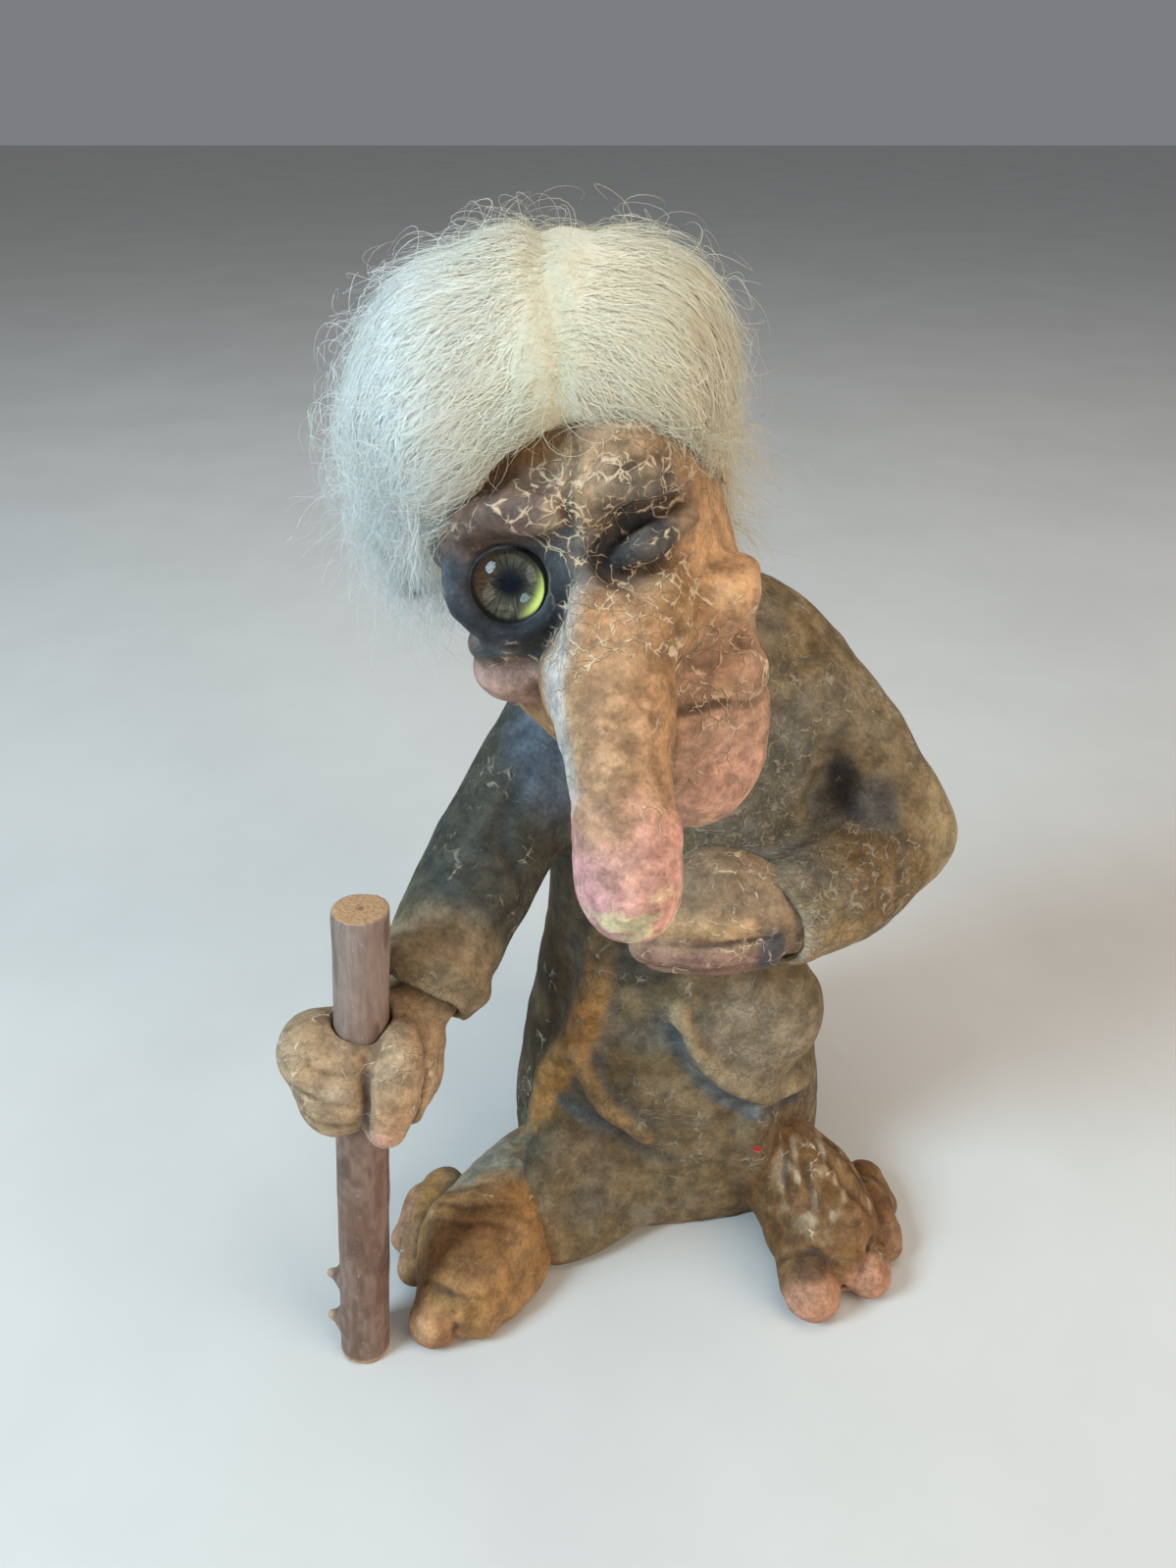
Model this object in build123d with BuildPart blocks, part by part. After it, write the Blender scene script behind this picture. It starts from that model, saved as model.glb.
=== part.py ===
# A stooping folk troll with a long nose, a wool wig and a walking stick.
# Millimetres, Z up, the figure faces -Y and its base stands on the floor at Z = 0.
import os
from math import asin, cos, pi, radians, sin

from build123d import *

# Robe: half sizes of its cross-sections and the heights they stand at
HEM_HALF_WIDTH = 41.0
HEM_HALF_DEPTH = 32.0
KNEE_HEIGHT = 22.0
KNEE_HALF_WIDTH = 41.5
KNEE_HALF_DEPTH = 33.0
HIP_HEIGHT = 56.0
HIP_HALF_WIDTH = 35.5
HIP_HALF_DEPTH = 32.0
WAIST_HEIGHT = 88.0
WAIST_HALF_WIDTH = 31.0
WAIST_HALF_DEPTH = 31.0
CHEST_HEIGHT = 120.0
CHEST_HALF_WIDTH = 32.0
CHEST_HALF_DEPTH = 29.0
SHOULDER_HEIGHT = 148.0
SHOULDER_HALF_WIDTH = 33.0
SHOULDER_HALF_DEPTH = 24.0
HUMP_RISE = 19.0
ROBE_CENTRE_X = 2.0
STOOP = 5.0
WALL = 3.0

# Neck, which carries the head forward of the chest
NECK_RADIUS = 11.0
NECK_REACH = 33.0
NECK_ROOT_DROP = 6.0
NECK_ROOT_FORWARD = 8.0
NECK_ROOT_SIDE = 3.0

# Head: placed from the root of the neck, rolled to the figure's right
HEAD_REACH = (-13.0, -29.0, 35.0)
HEAD_ROLL = 20.0
CHIN_DROP = 36.0
CHIN_HALF = 11.0
CHIN_FORWARD = 11.0
JAW_DROP = 26.0
JAW_HALF_WIDTH = 18.0
JAW_HALF_DEPTH = 18.0
JAW_FORWARD = 7.0
CHEEK_DROP = 9.0
CHEEK_HALF_WIDTH = 24.0
CHEEK_HALF_DEPTH = 24.0
CHEEK_FORWARD = 2.0
EYE_LINE = 15.5
EYE_LINE_HALF_WIDTH = 25.0
EYE_LINE_HALF_DEPTH = 26.5
FOREHEAD_RISE = 28.0
FOREHEAD_HALF_WIDTH = 22.5
FOREHEAD_HALF_DEPTH = 24.5
CROWN_RISE = 38.0
CROWN_HALF_WIDTH = 16.5
CROWN_HALF_DEPTH = 18.5
CROWN_DOME = 7.0
CHIN_DOME = 5.0
HEAD_WALL = 9.0

# Nose: spine points beside, ahead of and above the head's centre, with their half widths
NOSE_BRIDGE = (1.0, -23.0, 20.0)
NOSE_BRIDGE_HALF = 5.0
NOSE_WING = (1.0, -31.0, 4.0)
NOSE_WING_HALF_WIDTH = 10.5
NOSE_WING_HALF_DEPTH = 9.5
NOSE_WAIST = (-2.6, -44.0, -12.0)
NOSE_WAIST_HALF = 8.0
NOSE_BULB = (-5.2, -51.0, -21.5)
NOSE_BULB_HALF = 8.6
NOSE_DOME = 9.0

# Face details
CHEEKBONE_RADIUS = 7.5
CHEEKBONE_SIDE = 17.5
CHEEKBONE_FORWARD = 15.0
CHEEKBONE_DROP = 3.0
WINK_RADIUS = 7.5
WINK_FORWARD = 19.0
WINK_CREASE_FORWARD = 3.0
CREASE_HALF_HEIGHT = 0.8
CREASE_DEPTH = 2.0
MOUTH_SPAN = 21.0
MOUTH_DROP = 16.0
MOUTH_DROOP = 7.0
MOUTH_FORWARD = 24.0
CROWN_HOLE_RADIUS = 6.0

# Glass eye with its painted disc
EYE_SPACING_HALF = 11.3
EYE_RADIUS = 6.6
EYE_DOME = 4.6
EYE_RIM = 1.6
EYE_SEAT_FORWARD = 19.5
IRIS_THICKNESS = 0.8
LID_TUBE = 1.9

# Wig: a round crown of wool on the hide, a fuller lobe either side of the parting, and a side lock
HIDE_THICKNESS = 1.6
HAIRLINE_RISE = 29.0
HAIRLINE_TILT = 30.0
CROWN_WOOL_PLACE = (0.0, 4.0, 35.0)
CROWN_WOOL_HALF_WIDTH = 29.0
CROWN_WOOL_HALF_DEPTH = 28.0
CROWN_WOOL_HALF_HEIGHT = 24.5
RIGHT_LOBE_PLACE = (-17.0, 4.0, 35.0)
RIGHT_LOBE_HALF_WIDTH = 17.5
RIGHT_LOBE_HALF_DEPTH = 25.5
RIGHT_LOBE_HALF_HEIGHT = 23.0
LEFT_LOBE_PLACE = (17.0, 5.0, 33.0)
LEFT_LOBE_HALF_WIDTH = 15.5
LEFT_LOBE_HALF_DEPTH = 26.0
LEFT_LOBE_HALF_HEIGHT = 20.5
NAPE_WOOL_PLACE = (2.0, 12.0, 18.0)
NAPE_WOOL_HALF_WIDTH = 24.0
NAPE_WOOL_HALF_DEPTH = 22.0
NAPE_WOOL_HALF_HEIGHT = 22.0
LOCK_ROOT = (-25.0, 4.0, 27.0)
LOCK_ROOT_RADIUS = 12.0
LOCK_REACH = (-4.0, 0.0, -31.0)
LOCK_END_RADIUS = 7.0
LOCK_DOME = 6.0

# Sleeves: reaches from one point of the arm to the next
RIGHT_SLEEVE_RADIUS = 13.0
RIGHT_CUFF_RADIUS = 12.0
RIGHT_SHOULDER_DROP = 12.0
RIGHT_UPPER_REACH = (-18.0, -17.0, -20.0)
RIGHT_FORE_REACH = (-17.0, -29.0, -22.0)
LEFT_SLEEVE_RADIUS = 13.6
LEFT_ELBOW_RADIUS = 12.5
LEFT_CUFF_RADIUS = 9.8
LEFT_SHOULDER_DROP = 4.0
LEFT_UPPER_REACH = (20.5, -3.0, -18.5)
LEFT_ELBOW_REACH = (9.5, -8.0, -19.0)
LEFT_FORE_REACH = (-13.0, -16.0, -5.0)
LEFT_CUFF_REACH = (-13.0, -11.0, -1.0)
CUFF_RECESS = 3.5
CUFF_RIM = 2.2

# Hands
RIGHT_WRIST_RADIUS = 7.4
LEFT_WRIST_RADIUS = 5.6
WRIST_DEPTH = 9.0
FIST_REACH = (-13.0, -15.0, -11.0)
FIST_HALF_WIDTH = 14.5
FIST_HALF_DEPTH = 12.5
FIST_HALF_HEIGHT = 8.0
FIST_DOME = 6.0
FIST_SETBACK = 1.8
FIST_SHIFT = 1.1
FIST_FINGER_RADIUS = 4.5
FIST_FINGERS = 4
FIST_FINGER_BEND = 3.5
PALM_HALF_WIDTH = 9.4
PALM_HALF_DEPTH = 7.0
PALM_REACH = (-16.0, -2.0, 0.5)
HAND_BACK_REACH = (-15.5, 1.0, 7.5)
HAND_BACK_HALF_WIDTH = 13.0
HAND_BACK_HALF_DEPTH = 9.5
HAND_BACK_HALF_HEIGHT = 8.5
FINGER_RADIUS = 4.0
FINGER_FORWARD = 3.0
FINGER_REACH = (-13.0, 1.0, -0.5)
FINGERS = 3

# Staff, a loose twig with two cut stubs
STAFF_RADIUS = 5.6
STAFF_LENGTH = 121.0
STAFF_FOOT_X = -72.2
STAFF_FOOT_Y = -65.0
STUB_RADIUS = 2.0
STUB_LENGTH = 4.0
STUB_LOW = 11.0
STUB_HIGH = 24.0

# Feet: each points out from a heel under the robe, its toes by place across, ahead of the ball, and radius
HEEL_HALF_WIDTH = 13.0
HEEL_HALF_HEIGHT = 14.0
BALL_HALF_WIDTH = 17.0
BALL_HALF_HEIGHT = 13.0
FOOT_RISE = 8.0
FOOT_DOME = 8.0
TOE_RISE = 5.0
TOE_LENGTH = 11.0
HEEL_INSET = 16.0
RIGHT_HEEL_SIDE = -31.0
RIGHT_FOOT_TURN = -26.0
RIGHT_FOOT_LENGTH = 36.0
RIGHT_TOES = ((-1.7, 15.0, 6.4), (6.7, 9.8, 5.6), (-13.6, 5.0, 5.4), (-18.5, -2.0, 4.8))
LEFT_HEEL_SIDE = 33.0
LEFT_FOOT_TURN = 14.0
LEFT_FOOT_LENGTH = 27.0
LEFT_TOES = ((-7.6, 12.4, 6.2), (6.9, 10.6, 5.6), (15.0, 2.6, 4.8), (18.0, -7.0, 4.8))

# Folds cast into the robe's front: row along the robe and turn round it at each point
FOLD_HALF_WIDTH = 5.0
FOLD_HALF_DEPTH = 3.2
SIDE_FOLD = ((2.9, -124.0), (2.05, -132.0), (1.35, -140.0))
CROSS_FOLD = ((2.0, -132.0), (1.65, -121.0), (1.35, -103.0))
SWAG_FOLD = ((2.45, -89.0), (1.9, -73.0), (1.6, -52.0), (1.5, -30.0))
POUCH_ROW = 2.1
POUCH_TURN = -57.0
POUCH_INSET = 7.0
POUCH_HALF_WIDTH = 16.0
POUCH_HALF_DEPTH = 13.0
POUCH_HALF_HEIGHT = 18.0

# Clearances
BOND = 0.25
FILL = 0.3
SPIGOT = 0.15
RUNNING = 0.3

# Points round one section, sections between two stations and the angles of a domed end's sections
RING_POINTS = 12
STEPS = 3
DOME_ANGLES = (35.0, 60.0, 80.0)
LUMP_ANGLES = (-80.0, -55.0, -28.0, 0.0, 28.0, 55.0, 80.0)


def moved(point, reach):
    """The place that lies one reach away from a point."""
    return Vector(*point) + Vector(*reach)


def section(plane, half_wide, half_deep):
    """One closed oval on a plane."""
    turns = [2 * pi * index / RING_POINTS for index in range(RING_POINTS)]
    with BuildSketch(plane) as oval:
        with BuildLine():
            Spline([(half_wide * cos(turn), half_deep * sin(turn)) for turn in turns], periodic=True)
        make_face()
    return oval.sketch


def eased(values, row):
    """The value at a fractional row, on a smooth curve through all rows."""
    low = min(int(row), len(values) - 2)
    share = row - low
    slopes = []
    for index in (low, low + 1):
        before = max(index - 1, 0)
        after = min(index + 1, len(values) - 1)
        slopes.append((values[after] - values[before]) * (1 / (after - before)))
    rise = share * share * (3 - 2 * share)
    leave = share * (1 - share) ** 2
    reach = share * share * (share - 1)
    return values[low] * (1 - rise) + values[low + 1] * rise + slopes[0] * leave + slopes[1] * reach


def form(stations, side, upright=None, inset=0.0, start_dome=0.0, end_dome=0.0):
    """A smooth solid through ovals along a spine: each station is a centre, a half width and a half depth.

    The half width lies along the side direction. Ovals stand square to the spine, or to the upright
    direction where one is given. An inset shrinks every oval, and a dome closes an end.
    """
    rows = [step / STEPS for step in range((len(stations) - 1) * STEPS + 1)]
    spine = [eased([Vector(*centre) for centre, wide, deep in stations], row) for row in rows]
    wides = [eased([wide - inset for centre, wide, deep in stations], row) for row in rows]
    deeps = [eased([deep - inset for centre, wide, deep in stations], row) for row in rows]
    ovals = []
    for index, centre in enumerate(spine):
        before = spine[max(index - 1, 0)]
        after = spine[min(index + 1, len(spine) - 1)]
        aim = Vector(*upright) if upright else (after - before).normalized()
        ovals.append((centre, aim, wides[index], deeps[index]))
    for end, dome in ((0, inset - start_dome), (-1, end_dome - inset)):
        if (start_dome, end_dome)[end] > 0:
            centre, aim, wide, deep = ovals[end]
            caps = []
            for angle in DOME_ANGLES:
                shrink = cos(radians(angle))
                caps.append((centre + aim * (dome * sin(radians(angle))), aim, wide * shrink, deep * shrink))
            ovals = ovals + caps if end else caps[::-1] + ovals
    faces = []
    for centre, aim, wide, deep in ovals:
        across = Vector(*side) - aim * Vector(*side).dot(aim)
        faces.append(section(Plane(origin=centre, x_dir=across, z_dir=aim), wide, deep))
    with BuildPart() as solid:
        loft(faces)
    return solid.part


def lump(centre, wide, deep, tall):
    """An egg-shaped solid that stands upright round a centre."""
    faces = []
    for angle in LUMP_ANGLES:
        level = centre + Vector(0.0, 0.0, tall * sin(radians(angle)))
        shrink = cos(radians(angle))
        faces.append(section(Plane(origin=level), wide * shrink, deep * shrink))
    with BuildPart() as solid:
        loft(faces)
    return solid.part


def rod(start, end, radius):
    """A round bar from one point to another."""
    line = Vector(*end) - Vector(*start)
    with BuildPart() as bar:
        with BuildSketch(Plane(origin=start, z_dir=line)):
            Circle(radius)
        extrude(amount=line.length)
    return bar.part


# Robe form, widest at the knee and domed at the hump
RIGHT = (1.0, 0.0, 0.0)
FRONT = (0.0, -1.0, 0.0)
UP = (0.0, 0.0, 1.0)


def robe_stations(floor):
    """The robe's sections from a floor level up to the shoulders."""
    rows = (
        (floor, HEM_HALF_WIDTH, HEM_HALF_DEPTH),
        (KNEE_HEIGHT, KNEE_HALF_WIDTH, KNEE_HALF_DEPTH),
        (HIP_HEIGHT, HIP_HALF_WIDTH, HIP_HALF_DEPTH),
        (WAIST_HEIGHT, WAIST_HALF_WIDTH, WAIST_HALF_DEPTH),
        (CHEST_HEIGHT, CHEST_HALF_WIDTH, CHEST_HALF_DEPTH),
        (SHOULDER_HEIGHT, SHOULDER_HALF_WIDTH, SHOULDER_HALF_DEPTH),
    )
    return [((ROBE_CENTRE_X, STOOP * height / SHOULDER_HEIGHT, height), wide, deep)
            for height, wide, deep in rows]


def robe_form(inset, floor):
    """The robe without its arms and folds."""
    return form(robe_stations(floor), RIGHT, upright=UP, inset=inset, end_dome=HUMP_RISE)


def on_robe(row, turn):
    """A point on the robe's skin at a fractional row, turned from its right side."""
    stations = robe_stations(0.0)
    centre = eased([Vector(*place) for place, wide, deep in stations], row)
    wide = eased([wide for place, wide, deep in stations], row)
    deep = eased([deep for place, wide, deep in stations], row)
    return centre + Vector(wide * cos(radians(turn)), deep * sin(radians(turn)), 0.0)


def fold_form(points, side):
    """A rounded ridge of cloth that follows the robe's skin, its width along a side direction."""
    stations = [(on_robe(row, turn), FOLD_HALF_WIDTH, FOLD_HALF_DEPTH) for row, turn in points]
    return form(stations, side, start_dome=FOLD_HALF_WIDTH, end_dome=FOLD_HALF_WIDTH)


robe_skin = robe_form(0.0, 0.0)
robe_bound = robe_form(-BOND, 0.0)
side_fold = fold_form(SIDE_FOLD, RIGHT)
cross_fold = fold_form(CROSS_FOLD, RIGHT)
swag_fold = fold_form(SWAG_FOLD, UP)
pouch_centre = on_robe(POUCH_ROW, POUCH_TURN) + Vector(0.0, POUCH_INSET, 0.0)
pouch = lump(pouch_centre, POUCH_HALF_WIDTH, POUCH_HALF_DEPTH, POUCH_HALF_HEIGHT)

# Head frame: X to the viewer's right, Y to the back, Z to the crown
neck_root = Vector(-NECK_ROOT_SIDE, STOOP - NECK_ROOT_FORWARD, SHOULDER_HEIGHT - NECK_ROOT_DROP)
head_centre = moved(neck_root, HEAD_REACH)
roll = radians(HEAD_ROLL)
head_plane = Plane(origin=head_centre, x_dir=(cos(roll), 0, sin(roll)), z_dir=(-sin(roll), 0, cos(roll)))
neck_aim = (head_centre - neck_root).normalized()
neck_end = neck_root + neck_aim * NECK_REACH


def on_head(point):
    """A head-frame point in the shared frame."""
    return head_plane.from_local_coords(Vector(*point))


def skull_form(inset):
    """The head without its nose and features."""
    rows = (
        (-CHIN_DROP, CHIN_HALF, CHIN_HALF, CHIN_FORWARD),
        (-JAW_DROP, JAW_HALF_WIDTH, JAW_HALF_DEPTH, JAW_FORWARD),
        (-CHEEK_DROP, CHEEK_HALF_WIDTH, CHEEK_HALF_DEPTH, CHEEK_FORWARD),
        (EYE_LINE, EYE_LINE_HALF_WIDTH, EYE_LINE_HALF_DEPTH, 0.0),
        (FOREHEAD_RISE, FOREHEAD_HALF_WIDTH, FOREHEAD_HALF_DEPTH, 0.0),
        (CROWN_RISE, CROWN_HALF_WIDTH, CROWN_HALF_DEPTH, 0.0),
    )
    stations = [(on_head((0.0, -forward, height)), wide, deep) for height, wide, deep, forward in rows]
    return form(stations, head_plane.x_dir, upright=head_plane.z_dir, inset=inset,
                start_dome=CHIN_DOME, end_dome=CROWN_DOME)


skull_bound = skull_form(-BOND)
nose = form(
    (
        (on_head(NOSE_BRIDGE), NOSE_BRIDGE_HALF, NOSE_BRIDGE_HALF),
        (on_head(NOSE_WING), NOSE_WING_HALF_WIDTH, NOSE_WING_HALF_DEPTH),
        (on_head(NOSE_WAIST), NOSE_WAIST_HALF, NOSE_WAIST_HALF),
        (on_head(NOSE_BULB), NOSE_BULB_HALF, NOSE_BULB_HALF),
    ),
    head_plane.x_dir, end_dome=NOSE_DOME)

# Glass eye: a domed lens on its seat, facing forward out of the head
eye_plane = Plane(origin=on_head((-EYE_SPACING_HALF, -EYE_SEAT_FORWARD, EYE_LINE)),
                  x_dir=head_plane.x_dir, z_dir=FRONT)


def eye_form(grow, back):
    """The eye's outline turned round its axis, grown by a clearance, from a depth behind its seat."""
    reach = EYE_RADIUS + grow
    rise = EYE_DOME + grow
    top = EYE_RIM + rise
    bulge = (reach ** 2 + rise ** 2) / (2 * rise)
    half_turn = asin(reach / bulge) / 2
    middle = (bulge * sin(half_turn), top - bulge + bulge * cos(half_turn))
    with BuildPart() as eye:
        with BuildSketch(Plane(origin=eye_plane.origin, x_dir=eye_plane.x_dir, z_dir=-eye_plane.y_dir)):
            with BuildLine():
                Polyline((0, top), (0, -back), (reach, -back), (reach, EYE_RIM))
                ThreePointArc((reach, EYE_RIM), middle, (0, top))
            make_face()
        revolve(axis=Axis(eye_plane.origin, eye_plane.z_dir))
    return eye.part


eye_bound = eye_form(SPIGOT, IRIS_THICKNESS + SPIGOT)
lens_form = eye_form(0.0, 0.0)

with BuildPart() as eye_lens:
    add(lens_form)
eye_lens.part.label = "eye_lens"

with BuildPart() as eye_iris:
    with BuildSketch(eye_plane):
        Circle(EYE_RADIUS)
    extrude(amount=-IRIS_THICKNESS)
eye_iris.part.label = "eye_iris"

# Head casting: skull, nose, cheekbones, the wink and the lid ring, cut for eye, neck, mouth and filling
wink_place = on_head((EYE_SPACING_HALF, -WINK_FORWARD, EYE_LINE))
cheekbones = [Plane(origin=on_head((side * CHEEKBONE_SIDE, -CHEEKBONE_FORWARD, -CHEEKBONE_DROP)),
                    x_dir=head_plane.z_dir, z_dir=FRONT) for side in (-1, 1)]
lid_plane = Plane(origin=on_head((-EYE_SPACING_HALF, -EYE_SEAT_FORWARD - EYE_RIM, EYE_LINE)),
                  x_dir=head_plane.x_dir, z_dir=FRONT)
mouth_middle = on_head((0.0, -MOUTH_FORWARD, -MOUTH_DROP))
mouth_bend = on_head((MOUTH_SPAN / 2, -MOUTH_FORWARD, -MOUTH_DROP))
mouth_corner = on_head((MOUTH_SPAN, -MOUTH_FORWARD / 2, -MOUTH_DROP - MOUTH_DROOP))
mouth = form(
    [(place, CREASE_HALF_HEIGHT, CREASE_DEPTH) for place in (mouth_middle, mouth_bend, mouth_corner)],
    head_plane.z_dir)
wink_crease = form(
    (
        (wink_place + head_plane.x_dir * -WINK_RADIUS + Vector(*FRONT) * WINK_CREASE_FORWARD,
         CREASE_HALF_HEIGHT, CREASE_DEPTH),
        (wink_place + Vector(*FRONT) * WINK_RADIUS, CREASE_HALF_HEIGHT, CREASE_DEPTH),
        (wink_place + head_plane.x_dir * WINK_RADIUS + Vector(*FRONT) * WINK_CREASE_FORWARD,
         CREASE_HALF_HEIGHT, CREASE_DEPTH),
    ),
    head_plane.z_dir)
skull = skull_form(0.0)
neck_socket = rod(neck_root, neck_end + neck_aim * SPIGOT, NECK_RADIUS + SPIGOT)
head_cavity = skull_form(HEAD_WALL)
crown_hole = rod(on_head((0.0, 0.0, FOREHEAD_RISE - HEAD_WALL)),
                 on_head((0.0, 0.0, CROWN_RISE + CROWN_DOME + HIDE_THICKNESS)), CROWN_HOLE_RADIUS)

with BuildPart() as head_casting:
    add(skull)
    add(nose)
    with Locations(cheekbones):
        Sphere(CHEEKBONE_RADIUS)
    with Locations(Plane(origin=wink_place, x_dir=head_plane.z_dir, z_dir=FRONT)):
        Sphere(WINK_RADIUS)
    with Locations(lid_plane):
        Torus(EYE_RADIUS + SPIGOT, LID_TUBE)
    add(mouth, mode=Mode.SUBTRACT)
    add(wink_crease, mode=Mode.SUBTRACT)
    add(head_cavity, mode=Mode.SUBTRACT)
    add(crown_hole, mode=Mode.SUBTRACT)
    add(eye_bound, mode=Mode.SUBTRACT)
    add(neck_socket, mode=Mode.SUBTRACT)
    add(robe_bound, mode=Mode.SUBTRACT)
head_casting.part.label = "head_casting"

# Head filling: a core behind the eye and the nose, hollowed where the neck comes in
filling_core = skull_form(HEAD_WALL + FILL)
neck_room = rod(neck_root, neck_end + neck_aim * (SPIGOT + FILL), NECK_RADIUS + SPIGOT + FILL)
with BuildPart() as head_filling:
    add(filling_core)
    add(neck_room, mode=Mode.SUBTRACT)
head_filling.part.label = "head_filling"

# Wig: a hide cap on the crown, and the wool as one round mass over it
hairline = Plane(origin=on_head((0.0, -FOREHEAD_HALF_DEPTH, HAIRLINE_RISE)), x_dir=head_plane.x_dir,
                 z_dir=head_plane.z_dir.rotate(Axis(head_centre, head_plane.x_dir), -HAIRLINE_TILT))
hide_outside = skull_form(-BOND - HIDE_THICKNESS)
hide_bound = skull_form(-BOND - HIDE_THICKNESS - BOND)
side_lock = form(
    (
        (on_head(LOCK_ROOT), LOCK_ROOT_RADIUS, LOCK_ROOT_RADIUS),
        (moved(on_head(LOCK_ROOT), LOCK_REACH), LOCK_END_RADIUS, LOCK_END_RADIUS),
    ),
    RIGHT, end_dome=LOCK_DOME)

with BuildPart() as wig_hide:
    add(hide_outside)
    add(skull_bound, mode=Mode.SUBTRACT)
    split(bisect_by=hairline, keep=Keep.TOP)
wig_hide.part.label = "wig_hide"

crown_wool = lump(on_head(CROWN_WOOL_PLACE), CROWN_WOOL_HALF_WIDTH, CROWN_WOOL_HALF_DEPTH,
                  CROWN_WOOL_HALF_HEIGHT)
right_lobe = lump(on_head(RIGHT_LOBE_PLACE), RIGHT_LOBE_HALF_WIDTH, RIGHT_LOBE_HALF_DEPTH,
                  RIGHT_LOBE_HALF_HEIGHT)
left_lobe = lump(on_head(LEFT_LOBE_PLACE), LEFT_LOBE_HALF_WIDTH, LEFT_LOBE_HALF_DEPTH, LEFT_LOBE_HALF_HEIGHT)
nape_wool = lump(on_head(NAPE_WOOL_PLACE), NAPE_WOOL_HALF_WIDTH, NAPE_WOOL_HALF_DEPTH, NAPE_WOOL_HALF_HEIGHT)

with BuildPart() as wig_fleece:
    add(crown_wool)
    add(right_lobe)
    add(left_lobe)
    add(nape_wool)
    add(side_lock)
    add(hide_bound, mode=Mode.SUBTRACT)
    with Locations(cheekbones):
        Sphere(CHEEKBONE_RADIUS + BOND, mode=Mode.SUBTRACT)
wig_fleece.part.label = "wig_fleece"

# Sleeves: the right reaches down to the stick, the left bends across the belly
right_shoulder = Vector(ROBE_CENTRE_X - SHOULDER_HALF_WIDTH + RIGHT_SLEEVE_RADIUS, STOOP,
                        SHOULDER_HEIGHT - RIGHT_SHOULDER_DROP)
right_elbow = moved(right_shoulder, RIGHT_UPPER_REACH)
right_cuff = moved(right_elbow, RIGHT_FORE_REACH)
right_aim = Vector(*RIGHT_FORE_REACH).normalized()
left_shoulder = Vector(ROBE_CENTRE_X + SHOULDER_HALF_WIDTH - LEFT_SLEEVE_RADIUS, STOOP,
                       SHOULDER_HEIGHT - LEFT_SHOULDER_DROP)
left_upper = moved(left_shoulder, LEFT_UPPER_REACH)
left_elbow = moved(left_upper, LEFT_ELBOW_REACH)
left_fore = moved(left_elbow, LEFT_FORE_REACH)
left_cuff = moved(left_fore, LEFT_CUFF_REACH)
left_aim = Vector(*LEFT_CUFF_REACH).normalized()


def right_sleeve_form(inset):
    """The right sleeve, straight from the shoulder to the cuff."""
    return form(
        (
            (right_shoulder, RIGHT_SLEEVE_RADIUS, RIGHT_SLEEVE_RADIUS),
            (right_elbow, RIGHT_SLEEVE_RADIUS, RIGHT_SLEEVE_RADIUS),
            (right_cuff, RIGHT_CUFF_RADIUS, RIGHT_CUFF_RADIUS),
        ),
        RIGHT, inset=inset)


def left_sleeve_form(inset):
    """The left sleeve, bent at the elbow."""
    return form(
        (
            (left_shoulder, LEFT_SLEEVE_RADIUS, LEFT_SLEEVE_RADIUS),
            (left_upper, LEFT_SLEEVE_RADIUS, LEFT_SLEEVE_RADIUS),
            (left_elbow, LEFT_ELBOW_RADIUS, LEFT_ELBOW_RADIUS),
            (left_fore, LEFT_ELBOW_RADIUS, LEFT_ELBOW_RADIUS),
            (left_cuff, LEFT_CUFF_RADIUS, LEFT_CUFF_RADIUS),
        ),
        UP, inset=inset)


def cuff_room(cuff, aim, depth, radius):
    """A round room that goes back into a sleeve from the end of its cuff."""
    return rod(cuff - aim * depth, cuff + aim * RUNNING, radius)


right_sleeve = right_sleeve_form(0.0)
left_sleeve = left_sleeve_form(0.0)
neck_stub = rod(neck_root, neck_end, NECK_RADIUS)
robe_cavity = robe_form(WALL, WALL)
neck_channel = rod(neck_root, neck_end + neck_aim * RUNNING, NECK_RADIUS - WALL)
cuff_rooms = (
    cuff_room(right_cuff, right_aim, CUFF_RECESS, RIGHT_CUFF_RADIUS - CUFF_RIM),
    cuff_room(right_cuff, right_aim, CUFF_RECESS + WRIST_DEPTH, RIGHT_WRIST_RADIUS + SPIGOT),
    cuff_room(left_cuff, left_aim, CUFF_RECESS, LEFT_CUFF_RADIUS - CUFF_RIM),
    cuff_room(left_cuff, left_aim, CUFF_RECESS + WRIST_DEPTH, LEFT_WRIST_RADIUS + SPIGOT),
)

with BuildPart() as robe_casting:
    add(robe_skin)
    add(side_fold)
    add(cross_fold)
    add(swag_fold)
    add(pouch)
    add(right_sleeve)
    add(left_sleeve)
    add(neck_stub)
    add(robe_cavity, mode=Mode.SUBTRACT)
    add(neck_channel, mode=Mode.SUBTRACT)
    for room in cuff_rooms:
        add(room, mode=Mode.SUBTRACT)
robe_casting.part.label = "robe_casting"

filling_body = robe_form(WALL + FILL, WALL + FILL)
with BuildPart() as body_filling:
    add(filling_body)
body_filling.part.label = "body_filling"

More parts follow.
